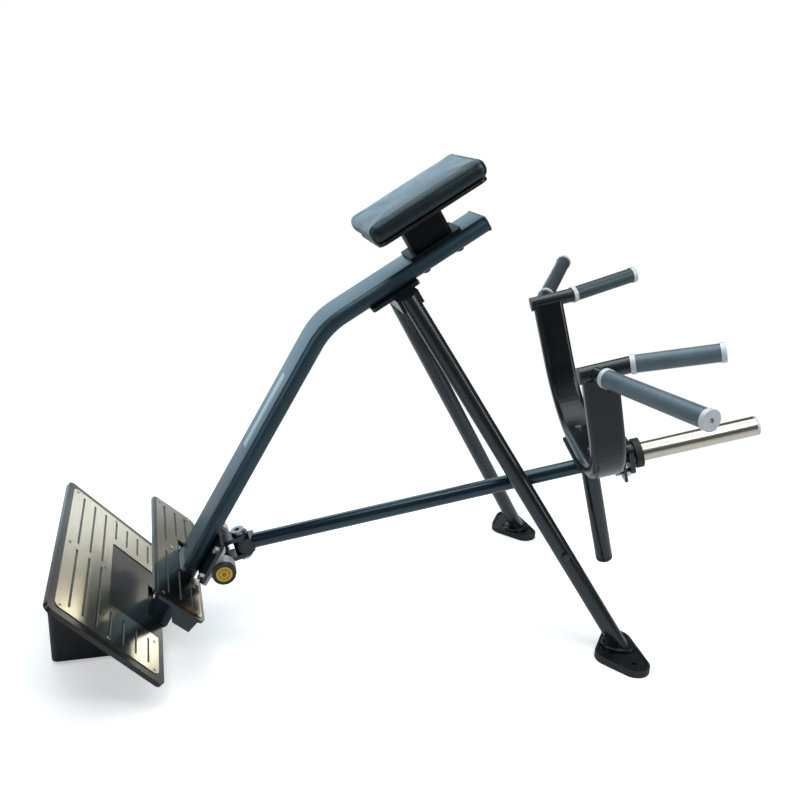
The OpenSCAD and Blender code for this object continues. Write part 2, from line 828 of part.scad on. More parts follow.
module hook_bolt() {
  color("#8f979c") hook_frame() translate([0, hook_bolt_d, 0]) rotate([0, 90, 0]) {
    translate([0, 0, -leg_d / 2 - 3]) cylinder(h = leg_d + 3, r = bolt_d / 2);
    translate([0, 0, -leg_d / 2 - 8]) cylinder(h = 8, r = 10.5);
  }
}

// Pad
function post_points() = [for (x = [-1, 1], y = [-1, 1]) [post_s + x * post_bolt_x, y * frame_bolt_y]];

module pad_post() {
  color("#1f2326") upper_frame() difference() {
    union() {
      translate([post_s, 0, spine_t / 2 + hair]) linear_extrude(post_h - hair)
        rrect(post_l - 24, post_w - 24, 12);
      translate([post_s, 0, spine_t / 2 + hair]) linear_extrude(flange_t)
        rrect(post_l + 12, post_w + 16, 10);
      translate([post_s, 0, board_n - flange_t]) linear_extrude(flange_t)
        rrect(post_l + 12, post_w + 16, 10);
    }
    for (p = post_points()) translate([p[0], p[1], 0])
      cylinder(h = spine_t / 2 + flange_t + 1, r = bolt_d / 2 + bolt_gap);
  }
}

module post_bolts() {
  color("#9aa0a4") upper_frame() for (p = post_points())
    translate([p[0], p[1], -spine_t / 2]) mirror([0, 0, 1]) {
      hex(bolt_af, bolt_head_h);
      translate([0, 0, -spine_t - flange_t + 1]) cylinder(h = spine_t + flange_t, r = bolt_d / 2);
    }
}

module pad_board() {
  color("#15171a") upper_frame() difference() {
    translate([pad_s + pad_l / 2, 0, board_n]) linear_extrude(board_t)
      rrect(pad_l - 2 * board_in, pad_w - 2 * board_in, 22);
    for (p = pad_points()) translate([p[0], p[1], 0])
      cylinder(h = far, r = 3.2, $fn = 32);
  }
}

function pad_points() = [for (x = [-1, 1], y = [-1, 1])
  [pad_s + pad_l / 2 + x * (pad_l / 2 - 50), y * (pad_w / 2 - 34)]];

// Cushion: rings of rounded rectangles, drawn in at both edges and crowned on top.
function ring_point(a, w, l, r, h) = let (c = cos(a), s = sin(a))
  [sign(c) * (l / 2 - r) + r * c, sign(s) * (w / 2 - r) + r * s, h];
function pad_ring(f, h, crown) = let (w = pad_w - 2 * f, l = pad_l - 2 * f)
  [for (k = [0:pad_n - 1]) ring_point((k + 0.5) * 360 / pad_n, w, l, max(26 - f / 2, 8), h)];
function pad_rings() = let (t = pad_t - pad_crown) [
  pad_ring(7, 0, 0), pad_ring(2, t * 0.12, 0), pad_ring(0, t * 0.3, 0),
  pad_ring(0, t * 0.62, 0), pad_ring(3, t * 0.86, 0), pad_ring(9, t * 0.99, 0),
  pad_ring(22, t + pad_crown * 0.35, 0), pad_ring(45, t + pad_crown * 0.72, 0),
  pad_ring(76, t + pad_crown * 0.95, 0)];

module cushion_shape() {
  rings = pad_rings();
  m = len(rings);
  pts = [for (r = rings) each r, [0, 0, 0], [0, 0, pad_t]];
  sides = [for (i = [0:m - 2], k = [0:pad_n - 1]) let (a = i * pad_n + k,
    b = i * pad_n + (k + 1) % pad_n) each [[a, b + pad_n, b], [a, a + pad_n, b + pad_n]]];
  low = [for (k = [0:pad_n - 1]) [m * pad_n, k, (k + 1) % pad_n]];
  top = [for (k = [0:pad_n - 1]) [m * pad_n + 1, (m - 1) * pad_n + (k + 1) % pad_n,
    (m - 1) * pad_n + k]];
  polyhedron(points = pts, faces = concat(sides, low, top));
}

module chest_pad() {
  color("#1d1d1f") upper_frame()
    translate([pad_s + pad_l / 2, 0, board_n + board_t]) cushion_shape();
}

module pad_screws() {
  color("#8c8f92") upper_frame() for (p = pad_points())
    translate([p[0], p[1], board_n]) {
      translate([0, 0, -3]) cylinder(h = 3, r = 7, $fn = 32);
      translate([0, 0, -1]) cylinder(h = board_t + 1, r = 3, $fn = 32);
    }
}

// Hub: turns on the axle
module hub_bore(r) {
  rotate([90, 0, 0]) cylinder(h = far, r = r, center = true);
}

module lever_axle() {
  color("silver") hub_frame() rotate([90, 0, 0])
    cylinder(h = 2 * (cap_y - 1), r = axle_d / 2, center = true);
}

module hub_clevis() {
  color("#24292c") hub_frame() difference() {
    union() {
      rotate([90, 0, 0]) cylinder(h = hub_l, r = hub_d / 2, center = true);
      translate([0, -cheek_r, -cheek_w - cheek_t])
        cube([hub_d / 2 + 1, 2 * cheek_r, 2 * (cheek_w + cheek_t)]);
      for (z = [-cheek_w - cheek_t, cheek_w]) translate([0, 0, z]) {
        translate([0, -cheek_r, 0]) cube([pin_off, 2 * cheek_r, cheek_t]);
        translate([pin_off, 0, 0]) cylinder(h = cheek_t, r = cheek_r);
      }
    }
    hub_bore(axle_d / 2);
    translate([pin_off, 0, 0]) cylinder(h = far, r = pin_d / 2, center = true);
  }
}

module swing_pin() {
  z0 = -cheek_w - cheek_t - nut_h - 3;
  z1 = cheek_w + cheek_t;
  color("#c9cdd0") hub_frame() translate([pin_off, 0, 0]) difference() {
    union() {
      translate([0, 0, z0]) cylinder(h = z1 - z0, r = pin_d / 2);
      translate([0, 0, z1]) cylinder(h = pin_head_h, r = pin_head_r);
    }
    translate([0, 0, z1 + pin_head_h / 2]) hex(14, pin_head_h);
  }
}

module swing_nut() {
  color("#b9bec1") hub_frame() translate([pin_off, 0, -cheek_w - cheek_t - nut_h])
    difference() {
      hex(nut_af, nut_h);
      translate([0, 0, -1]) cylinder(h = nut_h + 2, r = pin_d / 2);
    }
}

// Lever
module lever_head() {
  color("#2b3033") lever_frame() difference() {
    union() {
      translate([0, 0, -lever_d / 2]) cylinder(h = lever_d, r = head_r);
      translate([0, -head_r, -lever_d / 2]) cube([tube_start, 2 * head_r, lever_d]);
    }
    cylinder(h = far, r = pin_d / 2 + run_gap + bush_t, center = true);
  }
}

module pin_bush() {
  color("#c8a24a") lever_frame() difference() {
    cylinder(h = lever_d, r = pin_d / 2 + run_gap + bush_t, center = true);
    cylinder(h = far, r = pin_d / 2 + run_gap, center = true);
  }
}

module rod_u(u0, u1, r) {
  translate([u0, 0, 0]) rotate([0, 90, 0]) rotate([0, 0, 37]) cylinder(h = u1 - u0, r = r);
}

module lever_tube() {
  color("#2b3136") lever_frame() rod_u(tube_start, flange_u, lever_d / 2);
}

// The yoke's path, with X out along the side and Z down.
module yoke_frame() { translate([yoke_u, 0, yoke_w0]) rotate([180, 0, 90]) children(); }
module bar_cut(r) {
  translate([0, bar_v, bar_w]) rod_u(0, far, r);
}

module at_yoke_bolts() {
  for (v = bolts_v) translate([bolts_u, v, floor_w]) children();
}

// Stations of the bar's right half: along the side, down, and the angle it has turned.
function yoke_half() = concat([[yoke_half_l, 0, 0]],
  [for (k = [1:yoke_steps]) let (a = yoke_angle * k / yoke_steps)
    [yoke_half_l + yoke_bend * sin(a), -yoke_bend * (1 - cos(a)), a]],
  [let (a = yoke_angle, l = arm_l - arm_short)
    [yoke_half_l + yoke_bend * sin(a) + l * cos(a), -yoke_bend * (1 - cos(a)) - l * sin(a), a]]);
function yoke_path() = let (h = yoke_half(), n = len(h) - 1)
  concat([for (k = [n:-1:0]) [-h[k][0], h[k][1], -h[k][2]]], h);

module yoke() {
  color("#2f3437") lever_frame() difference() {
    yoke_frame() swept_bar(yoke_path(), yoke_w, yoke_t, yoke_r);
    both() bar_cut(bar_d / 2);
    both() wide_frame() rod_x(0, wide_u0, wide_root_d / 2);
    at_yoke_bolts() {
      cylinder(h = 3 * yoke_t, r = bolt_d / 2 + bolt_gap, center = true);
      cylinder(h = yoke_t, r = bolt_d * 0.85 + bolt_gap);
    }
  }
}

module yoke_cradle() {
  color("#4a5054") lever_frame() difference() {
    translate([yoke_u, (cradle_far - cradle_near) / 2, cradle_w0]) linear_extrude(cradle_t)
      rrect(cradle_w, cradle_far + cradle_near, 8);
    rod_u(0, far, lever_d / 2);
    at_yoke_bolts() cylinder(h = 3 * yoke_t, r = bolt_d / 2 + bolt_gap, center = true);
  }
}

module yoke_bolts() {
  color("#c4c8cb") lever_frame() at_yoke_bolts()
    bolt(floor_w - cradle_w0 + bolt_d * 0.7, bolt_d - 0.4);
}

module strut() {
  color("#33373a") lever_frame() difference() {
    translate([strut_u, 0, -strut_l + tip_h])
      cylinder(h = strut_l - tip_h - strut_top, r = strut_d / 2);
    rod_u(0, far, lever_d / 2);
  }
}

module strut_tip() {
  color("#141414") lever_frame() translate([strut_u, 0, -strut_l]) {
    translate([0, 0, tip_r]) cylinder(h = tip_h - tip_r, r = strut_d / 2);
    rotate_extrude() {
      square([strut_d / 2 - tip_r, tip_r]);
      intersection() {
        translate([strut_d / 2 - tip_r, tip_r]) circle(tip_r);
        translate([strut_d / 2 - tip_r, 0]) square([tip_r, tip_r]);
      }
    }
  }
}

// Weight horn
module horn_flange() {
  color("#3a4145") lever_frame() {
    difference() {
      translate([flange_u, 0, 0]) rotate([0, 90, 0]) linear_extrude(horn_plate_t)
        rrect(horn_plate_w, horn_plate_w, 20);
      translate([flange_u - 1, -far / 2, -horn_plate_low - far])
        cube([horn_plate_t + 2, far, far]);
    }
    rod_u(flange_u + horn_plate_t, ring_u, ring_hub_d / 2);
    difference() {
      translate([flange_u - tongue_back, -tongue_w / 2, -tongue_low])
        cube([tongue_t, tongue_w, tongue_low + tongue_high]);
      rod_u(0, far, lever_d / 2);
      translate([0, 0, -tongue_bolt_w]) rod_u(0, far, bolt_d / 2 + bolt_gap);
    }
  }
}

module horn_bolt() {
  color("#b7a9a0") lever_frame()
    translate([flange_u - tongue_back + tongue_t, 0, -tongue_bolt_w]) rotate([0, 90, 0]) {
    cylinder(h = 2.5, r = 13);
    translate([0, 0, 2.5]) hex(21, 9);
    translate([0, 0, -26]) cylinder(h = 26, r = bolt_d / 2);
  }
}

module stop_ring() {
  color("#151515") lever_frame() difference() {
    rod_u(ring_u, horn_u, ring_d / 2);
    rod_u(0, far, spigot_d / 2);
  }
}

module weight_horn() {
  color("#d9dcde") lever_frame() {
    rod_u(ring_u, horn_u + 1, spigot_d / 2);
    rod_u(horn_u, horn_u + horn_l, horn_d / 2);
  }
}

module horn_cap() {
  color("#e6e8ea") lever_frame() rod_u(horn_u + horn_l, horn_u + horn_l + horn_cap_l, horn_d / 2);
}

// Crossbars and grips
module rod_x(a, b, r) { translate([a, 0, 0]) rotate([0, 90, 0]) cylinder(h = b - a, r = r); }

// X along the neutral grip from the crossbar's end.
module neutral_frame() {
  translate([bar_u1, bar_v, bar_w]) rotate([0, 0, neutral_out]) children();
}
// X along the wide grip from the crossbar's axis.
module wide_frame() {
  translate([wide_u, bar_v, bar_w]) rotate([0, 0, 90 - wide_forward]) children();
}

module bar_end() {
  translate([0, bar_v, bar_w]) rod_u(bar_u0, bar_u0 + bar_cap_l, bar_d / 2);
}

module near_crossbar() { color("#24282b") lever_frame() mirror([0, 1, 0]) crossbar_piece(); }
module far_crossbar() { color("#24282b") lever_frame() crossbar_piece(); }

module crossbar_piece() {
  difference() {
    union() {
      translate([0, bar_v, bar_w]) rod_u(bar_u0 + bar_cap_l, bar_u1, bar_d / 2);
      wide_frame() rod_x(0, wide_u0, wide_root_d / 2);
    }
    neutral_frame() translate([0, -bar_d, -bar_d]) cube(2 * bar_d);
  }
}

module crossbar_caps() { color("#a9b0b4") lever_frame() both() bar_end(); }

module neutral_grip() {
  neutral_frame() rod_x(collar_l, neutral_l - collar_l, grip_d / 2);
}
module wide_grip() {
  wide_frame() rod_x(wide_u0 + collar_l, wide_l - collar_l, grip_d / 2);
}

module near_grip() { color("#232426") lever_frame() mirror([0, 1, 0]) neutral_grip(); }
module far_grip() { color("#232426") lever_frame() neutral_grip(); }
module near_wide_grip() { color("#232426") lever_frame() mirror([0, 1, 0]) wide_grip(); }
module far_wide_grip() { color("#232426") lever_frame() wide_grip(); }

module ring_piece(x) { translate([x, 0, 0]) rotate([0, 90, 0]) cylinder(h = collar_l, r = collar_d / 2); }

module grip_collars() {
  color("#c3c7ca") lever_frame() both() {
    neutral_frame() ring_piece(0);
    wide_frame() ring_piece(wide_u0);
  }
}

module end_cap(x) {
  translate([x, 0, 0]) rotate([0, 90, 0]) difference() {
    cylinder(h = collar_l, r = collar_d / 2);
    translate([0, 0, collar_l - 4]) cylinder(h = collar_l, r = 6);
  }
}

module grip_end_caps() {
  color("#c3c7ca") lever_frame() both() {
    neutral_frame() end_cap(neutral_l - collar_l);
    wide_frame() end_cap(wide_l - collar_l);
  }
}

base_box();
base_runners();
lower_step_plate();
lower_step_tread();
upper_step_plate();
upper_step_tread();
tread_screws();
step_cross_tubes();
spine();
spine_cap();
bearing_plate();
near_bearing_housing();
far_bearing_housing();
bearings();
bearing_caps();
cap_discs();
bearing_bolts();
leg_saddle();
saddle_bolts();
near_leg();
far_leg();
near_foot();
far_foot();
near_foot_pad();
far_foot_pad();
lever_hook();
hook_liner();
hook_bolt();
pad_post();
post_bolts();
pad_board();
chest_pad();
pad_screws();
lever_axle();
hub_clevis();
swing_pin();
swing_nut();
lever_head();
pin_bush();
lever_tube();
yoke_cradle();
yoke();
yoke_bolts();
strut();
strut_tip();
horn_flange();
horn_bolt();
stop_ring();
weight_horn();
horn_cap();
near_crossbar();
far_crossbar();
crossbar_caps();
near_grip();
far_grip();
near_wide_grip();
far_wide_grip();
grip_collars();
grip_end_caps();
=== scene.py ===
import bpy
import math
from mathutils import Matrix, Vector


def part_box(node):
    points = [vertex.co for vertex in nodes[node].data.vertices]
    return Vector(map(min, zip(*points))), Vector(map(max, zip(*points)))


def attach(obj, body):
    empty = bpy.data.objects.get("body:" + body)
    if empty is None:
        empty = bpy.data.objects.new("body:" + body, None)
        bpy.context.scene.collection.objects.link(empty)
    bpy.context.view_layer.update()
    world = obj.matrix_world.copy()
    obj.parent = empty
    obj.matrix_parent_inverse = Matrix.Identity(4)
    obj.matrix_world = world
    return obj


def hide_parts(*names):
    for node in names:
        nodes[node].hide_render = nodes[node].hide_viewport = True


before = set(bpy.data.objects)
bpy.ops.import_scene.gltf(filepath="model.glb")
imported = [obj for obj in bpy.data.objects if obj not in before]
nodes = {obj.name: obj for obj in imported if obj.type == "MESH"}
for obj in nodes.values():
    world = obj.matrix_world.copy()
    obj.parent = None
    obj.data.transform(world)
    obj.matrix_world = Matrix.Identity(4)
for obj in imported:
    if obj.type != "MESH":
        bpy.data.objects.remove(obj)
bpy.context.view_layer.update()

CLOSE = 1e-5  # Points nearer to each other than this count as one


# The spine's two runs: the upper one carries the pad, and the lower one stands on the base

UPPER_LEAN = math.radians(33)
LOWER_LEAN = math.radians(62)
ALONG = Vector((math.cos(UPPER_LEAN), 0, math.sin(UPPER_LEAN)))
OUT = Vector((-math.sin(UPPER_LEAN), 0, math.cos(UPPER_LEAN)))
LOWER = Vector((math.cos(LOWER_LEAN), 0, math.sin(LOWER_LEAN)))
FRONT = Vector((-math.sin(LOWER_LEAN), 0, math.cos(LOWER_LEAN)))
CORNER = Vector((-0.7689, 0, 0.83806))  # Where the middle lines of the two runs cross
SPINE_WIDE = 0.13
SPINE_THICK = 0.04


# Small helpers for modelling as by hand

def clear_selection():
    """Leave edit mode and deselect everything, so that an operator takes only what comes next."""
    if bpy.context.object and bpy.context.object.mode != "OBJECT":
        bpy.ops.object.mode_set(mode="OBJECT")
    bpy.ops.object.select_all(action="DESELECT")


def only(obj):
    """Select this object alone and make it the active one."""
    clear_selection()
    obj.select_set(True)
    bpy.context.view_layer.objects.active = obj


def edit(kind="VERT"):
    """Enter edit mode, ready to select one kind of element."""
    bpy.ops.object.mode_set(mode="EDIT")
    bpy.ops.mesh.select_mode(type=kind)


def leave_edit():
    """Back to object mode."""
    bpy.ops.object.mode_set(mode="OBJECT")


def pick_edges(obj, test):
    """Select only the edges whose two ends pass the test, and enter edit mode."""
    leave_edit()
    mesh = obj.data
    for v in mesh.vertices:
        v.select = False
    for p in mesh.polygons:
        p.select = False
    for e in mesh.edges:
        a, b = (mesh.vertices[i].co for i in e.vertices)
        e.select = bool(test(a, b))
    edit("EDGE")


def apply_place():
    """Move the active object's place, turn and size into its mesh."""
    bpy.ops.object.transform_apply(location=True, rotation=True, scale=True)


def poly_curve(name, points, closed):
    """A curve object of straight pieces through the points."""
    curve = bpy.data.curves.new(name, "CURVE")
    curve.dimensions = "3D"
    line = curve.splines.new("POLY")
    line.points.add(len(points) - 1)
    for target, spot in zip(line.points, points):
        target.co = (*spot, 1)
    line.use_cyclic_u = closed
    obj = bpy.data.objects.new(name, curve)
    bpy.context.scene.collection.objects.link(obj)
    return obj


def curve_to_mesh(obj):
    """Turn a curve object into a mesh object and return it."""
    only(obj)
    bpy.ops.object.convert(target="MESH")
    return bpy.context.object


def finish_piece(obj, name, body, material, angle):
    """Name a modelled piece, give it its finish and smooth edges, and tie it to its body."""
    only(obj)
    apply_place()
    obj.name = name
    obj.data.materials.clear()
    obj.data.materials.append(material)
    bpy.ops.object.shade_smooth_by_angle(angle=math.radians(angle))
    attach(obj, body)


# Small helpers for building shader nodes

COLOR, NUMBER, VECTOR = "NodeSocketColor", "NodeSocketFloat", "NodeSocketVector"
SKIN_OUTPUTS = [("Color", COLOR), ("Roughness", NUMBER), ("Height", NUMBER)]


def new_group(name, inputs, outputs):
    """A shader node group with named sockets; returns its tree, input node and output node."""
    tree = bpy.data.node_groups.new(name, "ShaderNodeTree")
    for label, kind, value in inputs:
        socket = tree.interface.new_socket(name=label, in_out="INPUT", socket_type=kind)
        socket.default_value = value
    for label, kind in outputs:
        tree.interface.new_socket(name=label, in_out="OUTPUT", socket_type=kind)
    return tree, tree.nodes.new("NodeGroupInput"), tree.nodes.new("NodeGroupOutput")


def put_out(tree, result, **values):
    """Feed the group's outputs by their names."""
    for label, value in values.items():
        tree.links.new(value, result.inputs[label])


def object_place(tree):
    """Coordinates that stay with the piece."""
    return tree.nodes.new("ShaderNodeTexCoord").outputs["Object"]


def feed(tree, socket, wanted):
    """Set a socket from another socket or to fixed numbers."""
    if isinstance(wanted, (float, tuple)):
        socket.default_value = wanted
    else:
        tree.links.new(wanted, socket)


def noise(tree, vector, scale, detail=4.0, roughness=0.5):
    """Cloudy values from 0 to 1."""
    node = tree.nodes.new("ShaderNodeTexNoise")
    node.inputs["Detail"].default_value = detail
    node.inputs["Roughness"].default_value = roughness
    tree.links.new(vector, node.inputs["Vector"])
    feed(tree, node.inputs["Scale"], scale)
    return node.outputs["Fac"]


def spread(tree, value, low, high, to_low=0.0, to_high=1.0):
    """Stretch the values between low and high over another range, and hold the rest at its ends."""
    node = tree.nodes.new("ShaderNodeMapRange")
    node.clamp = True
    node.inputs["From Min"].default_value = low
    node.inputs["From Max"].default_value = high
    feed(tree, node.inputs["To Min"], to_low)
    feed(tree, node.inputs["To Max"], to_high)
    tree.links.new(value, node.inputs["Value"])
    return node.outputs["Result"]


def combine(tree, operation, first, second):
    """A Math node on two values."""
    node = tree.nodes.new("ShaderNodeMath")
    node.operation = operation
    feed(tree, node.inputs[0], first)
    feed(tree, node.inputs[1], second)
    return node.outputs[0]


def combine_vectors(tree, operation, first, second):
    """A Vector Math node on two vectors; some operations give a number, so it returns the node."""
    node = tree.nodes.new("ShaderNodeVectorMath")
    node.operation = operation
    feed(tree, node.inputs[0], first)
    feed(tree, node.inputs[1], second)
    return node


def blend_colors(tree, mask, first, second):
    """The first colour where the mask is 0, the second where it is 1."""
    node = tree.nodes.new("ShaderNodeMix")
    node.data_type = "RGBA"
    tree.links.new(mask, node.inputs[0])
    feed(tree, node.inputs[6], first)
    feed(tree, node.inputs[7], second)
    return node.outputs[2]


def gloss_from(tree, given, value, low=0.3, high=0.7):
    """Roughness between the group's two gloss inputs, steered by a cloudy value."""
    return spread(tree, value, low, high, given.outputs["Gloss Low"], given.outputs["Gloss High"])


# Shader groups that the finishes share; their inputs' values are changed by each finish

CREASE_WANDER = (0.004, 0.004, 0.004)  # How far noise pushes the leather's creases aside


def make_coat_group():
    """Powder coat: slow changes of tone and gloss, and a fine pebbled skin."""
    tree, given, result = new_group("powder coat skin", [
        ("Color", COLOR, (0.01, 0.01, 0.01, 1)), ("Lighter Color", COLOR, (0.02, 0.02, 0.02, 1)),
        ("Gloss Low", NUMBER, 0.3), ("Gloss High", NUMBER, 0.4), ("Pebble Scale", NUMBER, 900.0)],
        SKIN_OUTPUTS)
    place = object_place(tree)
    tone = spread(tree, noise(tree, place, 5.0, detail=3.0), low=0.35, high=0.65)
    color = blend_colors(tree, tone, given.outputs["Color"], given.outputs["Lighter Color"])
    rough = gloss_from(tree, given, noise(tree, place, 4.0, detail=2.0))
    pebbles = noise(tree, place, given.outputs["Pebble Scale"], detail=2.0)
    put_out(tree, result, Color=color, Roughness=rough, Height=pebbles)
    return tree


def make_brushed_group():
    """Brushed or turned metal: long thin lines along one direction."""
    tree, given, result = new_group("brushed metal lines", [
        ("Color", COLOR, (0.5, 0.5, 0.5, 1)), ("Line Color", COLOR, (0.4, 0.4, 0.4, 1)),
        ("Gloss Low", NUMBER, 0.25), ("Gloss High", NUMBER, 0.4),
        ("Stretch", VECTOR, (900.0, 12.0, 900.0))], SKIN_OUTPUTS)
    place = object_place(tree)
    drawn_out = combine_vectors(tree, "MULTIPLY", place, given.outputs["Stretch"]).outputs[0]
    lines = noise(tree, drawn_out, 1.0, detail=3.0, roughness=0.6)
    cloud = noise(tree, place, 6.0, detail=3.0)
    mask = combine(tree, "MULTIPLY", spread(tree, lines, low=0.3, high=0.7),
                   spread(tree, cloud, low=0.3, high=0.7, to_low=0.4))
    color = blend_colors(tree, mask, given.outputs["Color"], given.outputs["Line Color"])
    rough = gloss_from(tree, given, lines, low=0.25, high=0.75)
    put_out(tree, result, Color=color, Roughness=rough, Height=lines)
    return tree


def make_cast_group():
    """Cast metal: sandy skin with broad uneven patches."""
    tree, given, result = new_group("cast metal skin", [
        ("Color", COLOR, (0.4, 0.4, 0.4, 1)), ("Darker Color", COLOR, (0.25, 0.25, 0.25, 1)),
        ("Gloss Low", NUMBER, 0.35), ("Gloss High", NUMBER, 0.55)], SKIN_OUTPUTS)
    place = object_place(tree)
    broad = noise(tree, place, 60.0, detail=5.0, roughness=0.6)
    sand = noise(tree, place, 700.0, detail=3.0)
    mask = spread(tree, broad, low=0.35, high=0.7)
    color = blend_colors(tree, mask, given.outputs["Color"], given.outputs["Darker Color"])
    rough = gloss_from(tree, given, sand)
    height = combine(tree, "ADD", sand, broad)
    put_out(tree, result, Color=color, Roughness=rough, Height=height)
    return tree


def make_rubber_group():
    """Moulded rubber and plastic: dull skin with faint dusty patches."""
    tree, given, result = new_group("moulded rubber skin", [
        ("Color", COLOR, (0.02, 0.02, 0.02, 1)), ("Dusty Color", COLOR, (0.05, 0.05, 0.05, 1)),
        ("Gloss Low", NUMBER, 0.5), ("Gloss High", NUMBER, 0.7), ("Grain Scale", NUMBER, 500.0)],
        SKIN_OUTPUTS)
    place = object_place(tree)
    grain = noise(tree, place, given.outputs["Grain Scale"], roughness=0.6)
    dust = noise(tree, place, 22.0, detail=6.0, roughness=0.65)
    mask = spread(tree, dust, low=0.4, high=0.75)
    color = blend_colors(tree, mask, given.outputs["Color"], given.outputs["Dusty Color"])
    rough = gloss_from(tree, given, dust)
    put_out(tree, result, Color=color, Roughness=rough, Height=grain)
    return tree


def make_hide_group():
    """Leather cloth: small rounded cells between fine creases."""
    tree, given, result = new_group("leather cloth grain", [
        ("Color", COLOR, (0.01, 0.01, 0.01, 1)), ("Crease Color", COLOR, (0.004, 0.004, 0.004, 1)),
        ("Gloss Low", NUMBER, 0.3), ("Gloss High", NUMBER, 0.5), ("Cell Scale", NUMBER, 620.0)],
        SKIN_OUTPUTS)
    place = object_place(tree)
    wander = tree.nodes.new("ShaderNodeTexNoise")
    wander.inputs["Scale"].default_value = 160.0
    tree.links.new(place, wander.inputs["Vector"])
    shifted = combine_vectors(tree, "MULTIPLY_ADD", wander.outputs["Color"], CREASE_WANDER)
    tree.links.new(place, shifted.inputs[2])
    cells = tree.nodes.new("ShaderNodeTexVoronoi")
    cells.feature = "DISTANCE_TO_EDGE"
    tree.links.new(shifted.outputs[0], cells.inputs["Vector"])
    tree.links.new(given.outputs["Cell Scale"], cells.inputs["Scale"])
    pebble = spread(tree, cells.outputs["Distance"], low=0.0, high=0.22)
    color = blend_colors(tree, pebble, given.outputs["Crease Color"], given.outputs["Color"])
    rough = gloss_from(tree, given, noise(tree, place, 18.0))
    put_out(tree, result, Color=color, Roughness=rough, Height=pebble)
    return tree


coat_group = make_coat_group()
brushed_group = make_brushed_group()
cast_group = make_cast_group()
rubber_group = make_rubber_group()
hide_group = make_hide_group()


# Finishes: each is a material of its own that takes its skin from one of the groups

COAT_BUMP, COAT_RELIEF = 0.015, 0.0006
METAL_RELIEF = 0.0004
CAST_RELIEF = 0.0006
RUBBER_RELIEF = 0.0008
HIDE_BUMP, HIDE_RELIEF = 0.1, 0.0004
PEBBLES = 900.0
HIDE_CELLS = 620.0
LINES_ALONG_Y = (900.0, 9.0, 900.0)
LINES_ALONG_Z = (400.0, 400.0, 60.0)
EVEN_GRAIN = (300.0, 300.0, 300.0)
FINE_GRAIN = (600.0, 600.0, 600.0)
FAINT_BUMP = 0.03
TREAD_BUMP = 0.1
WHITE = (1, 1, 1, 1)
# Blue specular tints: painted reflection of a blue sky, laid on the black coats, the grips and the
# leather
PAINTED_SKY_TINT = (0.6, 0.88, 1.0, 1)
FAINT_PAINTED_SKY_TINT = (0.85, 0.95, 1.0, 1)


def rgb(text):
    """Linear colour from a colour as it looks on screen."""
    parts = [int(text[i:i + 2], 16) / 255 for i in (0, 2, 4)]
    return tuple(c / 12.92 if c < 0.04045 else ((c + 0.055) / 1.055) ** 2.4 for c in parts) + (1,)


def finish_material(name, group, colors, gloss, more_inputs, bump, relief,
                    metallic=0.0, specular=0.5, tint=WHITE):
    """A material whose colour, gloss and bump come from one of the shared groups."""
    material = bpy.data.materials.new(name)
    material.use_nodes = True
    tree = material.node_tree
    shader = tree.nodes["Principled BSDF"]
    skin = tree.nodes.new("ShaderNodeGroup")
    skin.node_tree = group
    for label, color in colors.items():
        skin.inputs[label].default_value = rgb(color)
    skin.inputs["Gloss Low"].default_value, skin.inputs["Gloss High"].default_value = gloss
    for label, value in more_inputs.items():
        skin.inputs[label].default_value = value
    tree.links.new(skin.outputs["Color"], shader.inputs["Base Color"])
    tree.links.new(skin.outputs["Roughness"], shader.inputs["Roughness"])
    skin_bump = tree.nodes.new("ShaderNodeBump")
    skin_bump.inputs["Strength"].default_value = bump
    skin_bump.inputs["Distance"].default_value = relief
    tree.links.new(skin.outputs["Height"], skin_bump.inputs["Height"])
    tree.links.new(skin_bump.outputs["Normal"], shader.inputs["Normal"])
    shader.inputs["Metallic"].default_value = metallic
    shader.inputs["Specular IOR Level"].default_value = specular
    shader.inputs["Specular Tint"].default_value = tint
    return material


def coat(name, dark, light, gloss, specular, tint=WHITE):
    """Powder coat."""
    return finish_material(name, coat_group, {"Color": dark, "Lighter Color": light}, gloss,
                           {"Pebble Scale": PEBBLES}, COAT_BUMP, COAT_RELIEF,
                           specular=specular, tint=tint)


def metal(name, face, line, gloss, stretch, bump=FAINT_BUMP):
    """Bare brushed, turned or plated metal."""
    return finish_material(name, brushed_group, {"Color": face, "Line Color": line}, gloss,
                           {"Stretch": stretch}, bump, METAL_RELIEF, metallic=1.0)


def cast(name, face, patch, gloss, bump, metallic):
    """Cast metal with a dull skin."""
    return finish_material(name, cast_group, {"Color": face, "Darker Color": patch}, gloss,
                           {}, bump, CAST_RELIEF, metallic=metallic)


def rubber(name, dark, dusty, gloss, grain, bump, specular=0.5, tint=WHITE):
    """Rubber, foam or plastic."""
    return finish_material(name, rubber_group, {"Color": dark, "Dusty Color": dusty}, gloss,
                           {"Grain Scale": grain}, bump, RUBBER_RELIEF,
                           specular=specular, tint=tint)


frame_coat = coat("black frame coat", "12181b", "171e21", (0.2, 0.26), 0.6, FAINT_PAINTED_SKY_TINT)
# The lever coat's blue base colour is a painted blue sheen on black paint
lever_coat_painted_sheen = coat("black lever coat with painted blue sheen", "13212a", "192a34", (0.19, 0.23), 0.75, PAINTED_SKY_TINT)
# The spine coat's navy base colour is a painted blue sheen on black paint; the stripes are laid
# over it
tube_coat_painted_sheen = coat("black spine coat with painted blue sheen", "1b2933", "212f39", (0.34, 0.4), 0.7, PAINTED_SKY_TINT)
yoke_coat = coat("black yoke coat", "0f1214", "131719", (0.22, 0.28), 0.38, FAINT_PAINTED_SKY_TINT)
step_coat = coat("black step coat", "191a1a", "1e1f1f", (0.2, 0.26), 0.45)
base_coat = coat("black base coat", "161617", "1c1d1e", (0.38, 0.46), 0.35)
post_coat = coat("black post coat", "0b0c0d", "101112", (0.42, 0.5), 0.12)
